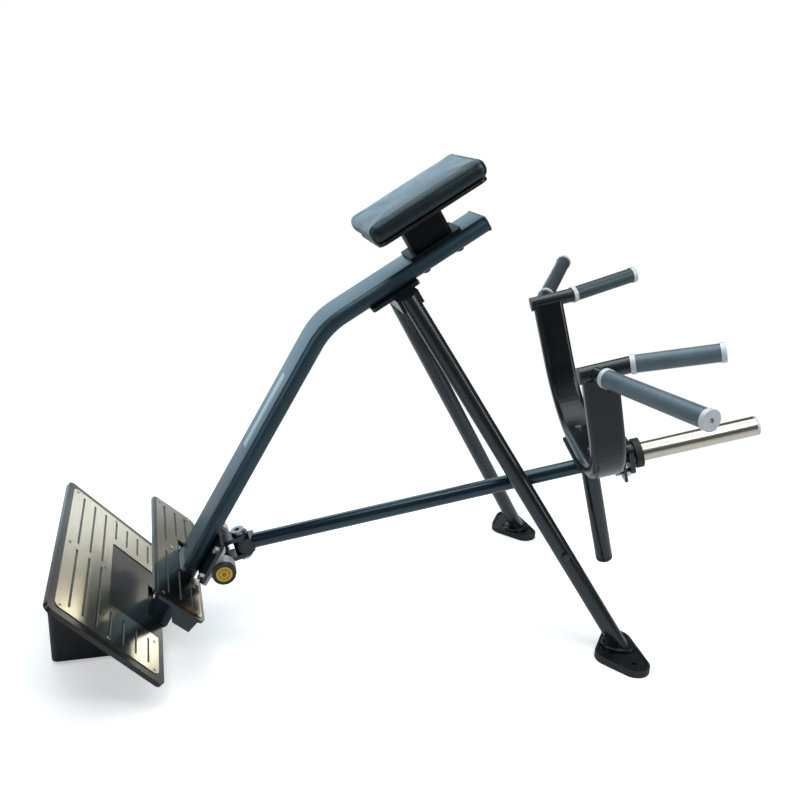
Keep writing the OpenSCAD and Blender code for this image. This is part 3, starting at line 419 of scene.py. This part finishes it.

# The treads' warm beige is a painted warm reflection; the upper tread's darker copy of the same
# steel is painted shade
tread_steel = metal("brushed tread steel", "dcd5c2", "bfb8a4", (0.17, 0.24), LINES_ALONG_Y,
                    bump=TREAD_BUMP)
tread_steel_painted_shade = metal("brushed tread steel, painted shade", "8f8b80", "6b685f", (0.16, 0.26),
                         LINES_ALONG_Y, bump=TREAD_BUMP)
bolt_steel = metal("zinced bolt steel", "cfd2d4", "a9adb0", (0.22, 0.36), EVEN_GRAIN)
dark_bolt_steel = metal("black bolt steel", "4b4f53", "34373a", (0.22, 0.34), EVEN_GRAIN)
pin_steel = metal("turned pin steel", "a2a4a3", "7c7e7e", (0.38, 0.5), LINES_ALONG_Z)
# The chromed horn's beige tint is a painted warm reflection
horn_chrome = metal("chromed horn", "c9c2b5", "c0b8aa", (0.24, 0.27), FINE_GRAIN, bump=0.0)
bronze = metal("bronze bush", "a07848", "7d5a32", (0.3, 0.45), EVEN_GRAIN)

collar_alloy = cast("turned collar alloy", "ccd3d6", "bcc3c7", (0.42, 0.5), bump=FAINT_BUMP,
                    metallic=0.15)
housing_cast = cast("cast bearing housing", "cfcbcb", "aaa7a8", (0.38, 0.52), bump=0.2,
                    metallic=0.3)

black_rubber = rubber("black rubber", "151515", "222222", (0.5, 0.72), grain=500.0, bump=0.25)
# One grip rubber in two copies: lighter on the near grips as painted light, darker on the far grips
# as painted shade
grip_rubber_painted_light = rubber("grip rubber, painted light", "525d65", "5b676f", (0.34, 0.42), grain=650.0,
                     bump=0.08, specular=0.65, tint=PAINTED_SKY_TINT)
grip_rubber_painted_shade = rubber("grip rubber, painted shade", "363d41", "3e464a", (0.36, 0.44), grain=650.0,
                    bump=0.08, tint=PAINTED_SKY_TINT)
cap_plastic = rubber("black plastic cap", "131415", "1c1d1e", (0.3, 0.42), grain=300.0, bump=0.1)
tube_plastic = rubber("dark tube cap", "23272a", "2f3437", (0.34, 0.5), grain=300.0, bump=0.1)
disc_yellow = rubber("yellow cap disc", "e0b020", "cb9c1a", (0.35, 0.5), grain=400.0, bump=0.1)

leather = finish_material("black leather cloth", hide_group,
                          {"Color": "14181a", "Crease Color": "0b0d0e"}, (0.3, 0.38),
                          {"Cell Scale": HIDE_CELLS}, HIDE_BUMP, HIDE_RELIEF,
                          specular=0.6, tint=PAINTED_SKY_TINT)


# Plain graphics that are painted over a finish

STRIPE_COLOR = "9aa6ab"
PAINT_END, PAINT_FULL = 0.0083, 0.0063  # Depths under the spine's front face
WIDE_STRIPE = (-0.006, 0.018)
THIN_STRIPE = (-0.0145, -0.0105)
STRIPE_HEIGHTS = (0.515, 0.705)
STRIPE_EDGE = 0.0004
RING_COLOR = "4a3a10"
RIM_RING = (0.0125, 0.0143)
EYE_RING = (0.0022, 0.0048)
RING_EDGE = 0.0002


def band(tree, value, edges, soft):
    """1 while the value lies between the two edges, 0 outside."""
    low, high = edges
    return combine(tree, "MULTIPLY", spread(tree, value, low - soft, low + soft),
                   spread(tree, value, high + soft, high - soft))


def make_stripe_mask():
    """Two plain stripes along the front face of the spine's lower run."""
    tree, _, result = new_group("spine stripe", [], [("Mask", NUMBER)])
    place = object_place(tree)
    split = tree.nodes.new("ShaderNodeSeparateXYZ")
    tree.links.new(place, split.inputs[0])
    front = combine_vectors(tree, "DOT_PRODUCT", place, tuple(FRONT)).outputs["Value"]
    face = CORNER.dot(FRONT) + SPINE_THICK / 2
    on_face = spread(tree, front, face - PAINT_END, face - PAINT_FULL)
    wide = band(tree, split.outputs["Y"], WIDE_STRIPE, STRIPE_EDGE)
    thin = band(tree, split.outputs["Y"], THIN_STRIPE, STRIPE_EDGE)
    run = band(tree, split.outputs["Z"], STRIPE_HEIGHTS, STRIPE_EDGE)
    stripes = combine(tree, "MAXIMUM", wide, thin)
    ended = combine(tree, "MULTIPLY", stripes, run)
    put_out(tree, result, Mask=combine(tree, "MULTIPLY", ended, on_face))
    return tree


def make_ring_mask():
    """Plain dark rings about the axle on the yellow discs."""
    tree, _, result = new_group("disc rings", [], [("Mask", NUMBER)])
    low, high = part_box("lever_axle")
    axle = tuple((low + high) / 2)
    flat = combine_vectors(tree, "MULTIPLY", object_place(tree), (1.0, 0.0, 1.0)).outputs[0]
    away = combine_vectors(tree, "DISTANCE", flat, axle).outputs["Value"]
    rim = band(tree, away, RIM_RING, RING_EDGE)
    eye = band(tree, away, EYE_RING, RING_EDGE)
    put_out(tree, result, Mask=combine(tree, "MAXIMUM", rim, eye))
    return tree


def painted(material, mask, color, name):
    """Lay a plain colour over a finish where the mask of the group is 1."""
    copy = material.copy()
    copy.name = name
    tree = copy.node_tree
    base_color = tree.nodes["Principled BSDF"].inputs["Base Color"]
    where = tree.nodes.new("ShaderNodeGroup")
    where.node_tree = mask
    below = base_color.links[0].from_socket
    tree.links.new(blend_colors(tree, where.outputs["Mask"], below, rgb(color)), base_color)
    return copy


spine_coat = painted(tube_coat_painted_sheen, make_stripe_mask(), STRIPE_COLOR, "striped spine coat")
ringed_disc = painted(disc_yellow, make_ring_mask(), RING_COLOR, "ringed yellow disc")


# The finish of each CAD node

FINISH = {
    "base_box": base_coat, "base_runners": black_rubber,
    "lower_step_plate": step_coat, "upper_step_plate": step_coat,
    "lower_step_tread": tread_steel, "upper_step_tread": tread_steel_painted_shade,
    "tread_screws": bolt_steel, "step_cross_tubes": frame_coat,
    "spine": spine_coat, "spine_cap": tube_plastic, "bearing_plate": frame_coat,
    "near_bearing_housing": housing_cast, "far_bearing_housing": housing_cast,
    "bearings": pin_steel, "bearing_caps": cap_plastic, "cap_discs": ringed_disc,
    "bearing_bolts": bolt_steel, "leg_saddle": frame_coat, "saddle_bolts": bolt_steel,
    "near_leg": frame_coat, "far_leg": frame_coat, "near_foot": frame_coat,
    "far_foot": frame_coat, "near_foot_pad": black_rubber, "far_foot_pad": black_rubber,
    "lever_hook": frame_coat, "hook_liner": black_rubber, "hook_bolt": dark_bolt_steel,
    "pad_post": post_coat, "post_bolts": dark_bolt_steel, "pad_board": cap_plastic,
    "pad_screws": bolt_steel, "lever_axle": pin_steel, "hub_clevis": frame_coat,
    "swing_pin": pin_steel, "swing_nut": bolt_steel, "lever_head": frame_coat,
    "pin_bush": bronze, "lever_tube": lever_coat_painted_sheen, "yoke_cradle": yoke_coat,
    "yoke": yoke_coat, "yoke_bolts": bolt_steel, "strut": frame_coat,
    "strut_tip": black_rubber, "horn_flange": frame_coat, "horn_bolt": bolt_steel,
    "stop_ring": black_rubber, "weight_horn": horn_chrome, "horn_cap": collar_alloy,
    "near_crossbar": frame_coat, "far_crossbar": frame_coat, "crossbar_caps": tube_plastic,
    "near_grip": grip_rubber_painted_light, "far_grip": grip_rubber_painted_shade, "near_wide_grip": grip_rubber_painted_light,
    "far_wide_grip": grip_rubber_painted_shade, "grip_collars": collar_alloy, "grip_end_caps": collar_alloy,
    "chest_pad": leather,
}
for node_name, node_finish in FINISH.items():
    node_materials = nodes[node_name].data.materials
    node_materials.clear()
    node_materials.append(node_finish)


# Places in the upper run's own directions

def upper_place(point):
    """Distances of a point along the upper run from the corner, across it and out of it."""
    away = point - CORNER
    return away.dot(ALONG), point.y, away.dot(OUT)


def upper_matrix():
    """From the upper run's own directions (along, across, out) to the frame."""
    turn = Matrix((ALONG, (0, 1, 0), OUT)).transposed().to_4x4()
    return Matrix.Translation(CORNER) @ turn


# The chest pad: a stuffed cover, blown up a little and held flat on its board

PLAN_CORNER = 0.022
TOP_ROLL = 0.007
FOOT_ROLL = 0.003
PAD_VOXEL = 0.004
SWELL = 0.003
HELD = 0.6  # Share of the height up to which the cover's sides are held
SIDEWAYS = 0.25  # Share of the sideways swelling that is kept
STUFFING_STEPS = 20
WAIST, WAIST_TOP = 0.0008, 0.8
SIDE_DIP, END_DIP = 0.0022, 0.0018
WELT = 0.0012
WELT_POINTS = 240
WELT_SUNK = 0.45  # Share of the welt's radius that lies in the cover
WELT_DROP = 0.75  # Height of the welt below the top, in top rolls
RIM_POWER = 0.28  # A small power makes the outline of the rim points boxy
RIM_REACH = 0.06
PAD_ANGLE = 80


def pad_span():
    """The CAD pad's box in the upper run's own directions."""
    places = [upper_place(v.co) for v in nodes["chest_pad"].data.vertices]
    low = Vector([min(p[k] for p in places) for k in range(3)])
    high = Vector([max(p[k] for p in places) for k in range(3)])
    return low, high


def cushion_block(low, high):
    """A block with round corners, a rolled top edge and a tighter foot edge."""
    room = Vector((0, 0, SWELL))
    size = high - low - room
    middle = (low + high - room) / 2
    clear_selection()
    bpy.ops.mesh.primitive_cube_add(size=1, location=middle)
    pad = bpy.context.object
    pad.scale = size
    apply_place()
    top, foot = middle.z + size.z / 2, middle.z - size.z / 2
    pick_edges(pad, lambda a, b: abs(a.z - b.z) > size.z / 2)
    bpy.ops.mesh.bevel(offset=PLAN_CORNER, segments=8, affect="EDGES")
    pick_edges(pad, lambda a, b: min(a.z, b.z) > top - CLOSE)
    bpy.ops.mesh.bevel(offset=TOP_ROLL, segments=4, affect="EDGES")
    pick_edges(pad, lambda a, b: max(a.z, b.z) < foot + CLOSE)
    bpy.ops.mesh.bevel(offset=FOOT_ROLL, segments=2, affect="EDGES")
    leave_edit()
    even = pad.modifiers.new("even mesh", "REMESH")
    even.mode = "VOXEL"
    even.voxel_size = PAD_VOXEL
    bpy.ops.object.modifier_apply(modifier=even.name)
    return pad, top, foot


def stuff(pad, top, foot):
    """Blow the cover up a little; its sides and its foot are held."""
    held = pad.vertex_groups.new(name="held")
    for v in pad.data.vertices:
        if v.co.z < foot + HELD * (top - foot):
            held.add([v.index], 1.0, "REPLACE")
    rest = [v.co.copy() for v in pad.data.vertices]
    cloth = pad.modifiers.new("stuffing", "CLOTH")
    cloth.settings.use_pressure = True
    cloth.settings.uniform_pressure_force = 4.0
    cloth.settings.mass = 0.3
    cloth.settings.quality = 10
    cloth.settings.bending_stiffness = 5
    cloth.settings.vertex_group_mass = held.name
    cloth.settings.effector_weights.gravity = 0
    cloth.point_cache.frame_start = 1
    cloth.point_cache.frame_end = STUFFING_STEPS
    scene = bpy.context.scene
    for step in range(1, STUFFING_STEPS + 1):
        scene.frame_set(step)
    shaped = pad.evaluated_get(bpy.context.evaluated_depsgraph_get())
    moved = [v.co.copy() for v in shaped.data.vertices]
    pad.modifiers.remove(cloth)
    scene.frame_set(1)
    share = SWELL / max((b - a).length for a, b in zip(rest, moved))
    for v, a, b in zip(pad.data.vertices, rest, moved):
        v.co = a + Vector((SIDEWAYS * (b.x - a.x), SIDEWAYS * (b.y - a.y), b.z - a.z)) * share


def pull_sides_in(pad, low, high):
    """The cover runs in a little between the corners and at mid height."""
    middle = (low + high) / 2
    half = (high - low) / 2
    for v in pad.data.vertices:
        x = (v.co.x - middle.x) / half.x
        y = (v.co.y - middle.y) / half.y
        z = (v.co.z - low.z) / (high.z - low.z)
        waist = WAIST * math.sin(math.pi * min(max(z / WAIST_TOP, 0), 1))
        inward_y = SIDE_DIP * (1 - min(abs(x), 1) ** 4) + waist
        inward_x = END_DIP * (1 - min(abs(y), 1) ** 4) + waist
        v.co.y -= inward_y * y * abs(y) ** 3
        v.co.x -= inward_x * x * abs(x) ** 3


def rim_point(low, high, share):
    """Point and outward direction on the pad's outline, by its share of a full turn."""
    middle = (low + high) / 2
    half = (high - low) / 2
    cos, sin = math.cos(2 * math.pi * share), math.sin(2 * math.pi * share)
    away = Vector((cos * half.x, sin * half.y, 0))
    x = math.copysign(abs(cos) ** RIM_POWER, cos) * half.x
    y = math.copysign(abs(sin) ** RIM_POWER, sin) * half.y
    return Vector((middle.x + x, middle.y + y, 0)), away.normalized()


def edge_welt(pad, low, high, height, name):
    """The sewn edge of the cover: a thin welt that follows the swollen rim."""
    spots = []
    for k in range(WELT_POINTS):
        point, away = rim_point(low, high, k / WELT_POINTS)
        start = Vector((point.x, point.y, height)) + away * RIM_REACH
        hit, spot, normal, _ = pad.ray_cast(start, -away)
        if hit:
            spots.append(spot - normal * WELT * WELT_SUNK)
    welt = poly_curve(name, spots, True)
    welt.data.bevel_depth = WELT
    welt.data.bevel_resolution = 3
    return curve_to_mesh(welt)


def soft_pad():
    """The stuffed cushion and its welt, in place of the CAD pad."""
    low, high = pad_span()
    pad, top, foot = cushion_block(low, high)
    stuff(pad, top, foot)
    pull_sides_in(pad, low, high)
    only(pad)
    ease = pad.modifiers.new("even skin", "SMOOTH")
    ease.factor = 0.5
    ease.iterations = 1
    bpy.ops.object.modifier_apply(modifier=ease.name)
    welt = edge_welt(pad, low, high, top - TOP_ROLL * WELT_DROP, "pad_welt")
    only(pad)
    finer = pad.modifiers.new("finer skin", "SUBSURF")
    finer.levels = 1
    finer.render_levels = 1
    bpy.ops.object.modifier_apply(modifier=finer.name)
    for piece in (pad, welt):
        piece.data.transform(upper_matrix())
        piece.data.update()
    finish_piece(pad, "pad_cushion", "frame", leather, PAD_ANGLE)
    finish_piece(welt, "pad_welt", "frame", leather, PAD_ANGLE)
    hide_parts("chest_pad")


soft_pad()


# The spine: one flat tube with well rounded edges, bent between its two runs

BEND = 0.2  # Radius of the middle line in the bend
BEND_STEPS = 24
LOWER_RUN = 0.95  # Reaches below the cut at the foot
SPINE_ROUND = 0.0175
SPINE_FOOT = 0.04  # Height of the cut
SECTION_POINTS = 48
SPINE_ANGLE = 30


def spine_line():
    """Points of the middle line, from below the foot to the capped end."""
    bend_turn = LOWER_LEAN - UPPER_LEAN
    bend_start = CORNER - LOWER * BEND * math.tan(bend_turn / 2)
    points = [bend_start - LOWER * LOWER_RUN]
    for k in range(BEND_STEPS + 1):
        turn = bend_turn * k / BEND_STEPS
        points.append(bend_start + LOWER * BEND * math.sin(turn)
                      - FRONT * BEND * (1 - math.cos(turn)))
    end = max(upper_place(v.co)[0] for v in nodes["spine"].data.vertices)
    points.append(CORNER + ALONG * end)
    return points


def flat_tube_section():
    """Outline of the flat tube: a box with round corners, worked out as one turn."""
    half_x, half_y = SPINE_WIDE / 2 - SPINE_ROUND, SPINE_THICK / 2 - SPINE_ROUND
    points = []
    for k in range(SECTION_POINTS):
        angle = 2 * math.pi * (k + 0.5) / SECTION_POINTS
        cos, sin = math.cos(angle), math.sin(angle)
        corner = Vector((math.copysign(half_x, cos), math.copysign(half_y, sin), 0))
        points.append(corner + Vector((cos, sin, 0)) * SPINE_ROUND)
    return points


def bent_spine():
    """The tube's section carried along its middle line and cut level at the foot."""
    section = poly_curve("flat_tube_section", flat_tube_section(), True)
    line = poly_curve("spine_tube", spine_line(), False)
    line.data.twist_mode = "Z_UP"
    line.data.bevel_mode = "OBJECT"
    line.data.bevel_object = section
    line.data.use_fill_caps = True
    spine = curve_to_mesh(line)
    bpy.data.objects.remove(section)
    edit()
    bpy.ops.mesh.select_all(action="SELECT")
    bpy.ops.mesh.remove_doubles(threshold=CLOSE)
    bpy.ops.mesh.bisect(plane_co=(0, 0, SPINE_FOOT), plane_no=(0, 0, 1), clear_inner=True,
                        use_fill=True)
    bpy.ops.mesh.select_all(action="SELECT")
    bpy.ops.mesh.normals_make_consistent(inside=False)
    leave_edit()
    finish_piece(spine, "spine_tube", "frame", spine_coat, SPINE_ANGLE)
    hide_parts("spine")


bent_spine()


# Low welded bosses where the legs stand on the foot plates

LEG_RADIUS = 0.0225
LEG_TOP_FROM, LEG_TOP_TO = 0.6, 2  # Heights between which the leg's upper points lie
BOSS_RIM = 0.011
BOSS_TALL = 0.008
BOSS_LIFT = 0.001  # Height of the boss's middle over the plate
BOSS_LONGER = 0.008
BOSS_SHIFT = 0.006
BOSS_EDGE = 0.0025
BOSS_ANGLE = 40


def ring_middle(leg, low, high):
    """Mean place of the leg's points between two heights."""
    spots = [v.co for v in nodes[leg].data.vertices if low <= v.co.z <= high]
    return sum(spots, Vector()) / len(spots)


def foot_boss(name, leg, foot):
    """A flat oval about the leaning leg, sunk a little into its foot plate."""
    plate_top = max(v.co.z for v in nodes[foot].data.vertices)
    boss_top = plate_top + BOSS_LIFT + BOSS_TALL / 2
    bottom = ring_middle(leg, 0, plate_top)
    away = ring_middle(leg, LEG_TOP_FROM, LEG_TOP_TO) - bottom
    turn = math.atan2(away.y, away.x)
    rise = away.z / away.length
    spot = bottom + Vector((math.cos(turn), math.sin(turn), 0)) * BOSS_SHIFT
    spot.z = plate_top + BOSS_LIFT
    clear_selection()
    bpy.ops.mesh.primitive_cylinder_add(vertices=64, radius=1, depth=BOSS_TALL, location=spot)
    boss = bpy.context.object
    boss.scale = (LEG_RADIUS / rise + BOSS_RIM + BOSS_LONGER, LEG_RADIUS + BOSS_RIM, 1)
    boss.rotation_euler = (0, 0, turn)
    apply_place()
    pick_edges(boss, lambda a, b: min(a.z, b.z) > boss_top - CLOSE)
    bpy.ops.mesh.bevel(offset=BOSS_EDGE, segments=3, affect="EDGES")
    leave_edit()
    finish_piece(boss, name, "frame", frame_coat, BOSS_ANGLE)


foot_boss("near_foot_boss", "near_leg", "near_foot")
foot_boss("far_foot_boss", "far_leg", "far_foot")


# Floor and surroundings

FLOOR_SIZE = 40
FLOOR_DROP = 0.0005
FLOOR_COLOR = (0.86, 0.86, 0.86, 1)
FLOOR_LIFT = 0.45  # Light that the camera sees on the floor beside that of the lamps
FADE_MIDDLE = (-0.6, 0.2, 0.0)
FADE_FROM, FADE_TO = 1.2, 2.4
AROUND = 0.09
AROUND_COLOR = (0.95, 0.98, 1.0, 1)


def pale_floor():
    """A plain white floor that keeps soft shadows and fades into the white background."""
    clear_selection()
    bpy.ops.mesh.primitive_plane_add(size=FLOOR_SIZE, location=(0, 0, -FLOOR_DROP))
    floor = bpy.context.object
    floor.name = "studio_floor"
    material = bpy.data.materials.new("pale floor")
    material.use_nodes = True
    tree = material.node_tree
    shader = tree.nodes["Principled BSDF"]
    shader.inputs["Roughness"].default_value = 0.9
    shader.inputs["Specular IOR Level"].default_value = 0.1
    shader.inputs["Base Color"].default_value = FLOOR_COLOR
    shader.inputs["Emission Color"].default_value = WHITE
    to_camera = tree.nodes.new("ShaderNodeLightPath").outputs["Is Camera Ray"]
    lift = combine(tree, "MULTIPLY", to_camera, FLOOR_LIFT)
    tree.links.new(lift, shader.inputs["Emission Strength"])
    reach = combine_vectors(tree, "DISTANCE", object_place(tree), FADE_MIDDLE).outputs["Value"]
    far = spread(tree, reach, FADE_FROM, FADE_TO)
    glow = tree.nodes.new("ShaderNodeEmission")
    mix = tree.nodes.new("ShaderNodeMixShader")
    tree.links.new(combine(tree, "MULTIPLY", far, to_camera), mix.inputs[0])
    tree.links.new(shader.outputs[0], mix.inputs[1])
    tree.links.new(glow.outputs[0], mix.inputs[2])
    tree.links.new(mix.outputs[0], tree.nodes["Material Output"].inputs["Surface"])
    floor.data.materials.append(material)


def studio_world():
    """White to the camera, and a dim even light for everything else."""
    world = bpy.data.worlds.new("white studio")
    bpy.context.scene.world = world
    world.use_nodes = True
    tree = world.node_tree
    back = tree.nodes["Background"]
    back.inputs["Color"].default_value = WHITE
    back.inputs["Strength"].default_value = 1.0
    dim = tree.nodes.new("ShaderNodeBackground")
    dim.inputs["Color"].default_value = AROUND_COLOR
    dim.inputs["Strength"].default_value = AROUND
    path = tree.nodes.new("ShaderNodeLightPath")
    mix = tree.nodes.new("ShaderNodeMixShader")
    tree.links.new(path.outputs["Is Camera Ray"], mix.inputs[0])
    tree.links.new(dim.outputs[0], mix.inputs[1])
    tree.links.new(back.outputs[0], mix.inputs[2])
    tree.links.new(mix.outputs[0], tree.nodes["World Output"].inputs["Surface"])


# Lamps: name, place, point that it faces, width and height, power, colour

SKY = (0.62, 0.85, 1.0)
LAMPS = [
    ("ceiling panel", (-0.8, 0.2, 3.4), (-0.7, 0, 0.4), (3.2, 2.4), 75, (1.0, 0.99, 0.97)),
    ("back window left", (-2.325, 3.4, 2.15), (-2.325, 0, 2.15), (2.25, 4.3), 60, SKY),
    ("back window right", (-0.375, 3.4, 2.65), (-0.375, 0, 2.65), (1.65, 3.3), 34, SKY),
    ("low window", (0.15, 3.4, 0.5), (0.15, 0, 0.5), (0.6, 1.0), 2.6, (0.9, 0.96, 1.0)),
    ("low warm light", (1.15, 3.3, 0.5), (1.15, 0, 0.5), (0.5, 1.0), 7, (1.0, 0.94, 0.8)),
    ("grip light", (0.2, -1.3, 2.0), (-0.2, -0.6, 0.85), (0.9, 0.9), 15, (0.85, 0.95, 1.0)),
    ("left window", (-3.6, -0.8, 1.9), (-0.8, 0, 0.5), (1.6, 1.8), 24, (0.8, 0.92, 1.0)),
    ("right strip", (1.8, -1.6, 1.6), (-0.4, 0, 0.5), (0.5, 1.8), 14, (1.0, 0.95, 0.88)),
]


def lamp(name, spot, aim, size, power, color):
    """A soft rectangular lamp that the camera doesn't see itself."""
    data = bpy.data.lights.new(name, "AREA")
    data.shape = "RECTANGLE"
    data.size, data.size_y = size
    data.energy = power
    data.color = color
    obj = bpy.data.objects.new(name, data)
    bpy.context.scene.collection.objects.link(obj)
    direction = Vector(aim) - Vector(spot)
    obj.location = spot
    obj.rotation_euler = direction.to_track_quat("-Z", "Y").to_euler()
    obj.visible_camera = False


# Camera at the photograph's viewing angle

CAMERA_SPOT = (-1.1729, -2.0543, 1.3589)
CAMERA_TURN = math.radians(16.83)
CAMERA_DOWN = math.radians(18.93)
CAMERA_ROLL = math.radians(3.23)
CAMERA_LENS, CAMERA_SENSOR = 38.25, 36


def set_camera():
    """A level camera turned to the right, tipped down and then rolled a little."""
    level = Vector((math.sin(CAMERA_TURN), math.cos(CAMERA_TURN), 0))
    upright = Vector((0, 0, 1))
    ahead = level * math.cos(CAMERA_DOWN) - upright * math.sin(CAMERA_DOWN)
    up = level * math.sin(CAMERA_DOWN) + upright * math.cos(CAMERA_DOWN)
    right = level.cross(upright)
    x_axis = right * math.cos(CAMERA_ROLL) + up * math.sin(CAMERA_ROLL)
    y_axis = up * math.cos(CAMERA_ROLL) - right * math.sin(CAMERA_ROLL)
    data = bpy.data.cameras.new("photo camera")
    data.lens = CAMERA_LENS
    data.sensor_width = CAMERA_SENSOR
    camera = bpy.data.objects.new("photo camera", data)
    bpy.context.scene.collection.objects.link(camera)
    turned = Matrix((x_axis, y_axis, -ahead)).transposed().to_4x4()
    camera.matrix_world = Matrix.Translation(CAMERA_SPOT) @ turned
    bpy.context.scene.camera = camera


pale_floor()
studio_world()
for lamp_values in LAMPS:
    lamp(*lamp_values)
set_camera()
bpy.context.scene.view_settings.view_transform = "Standard"
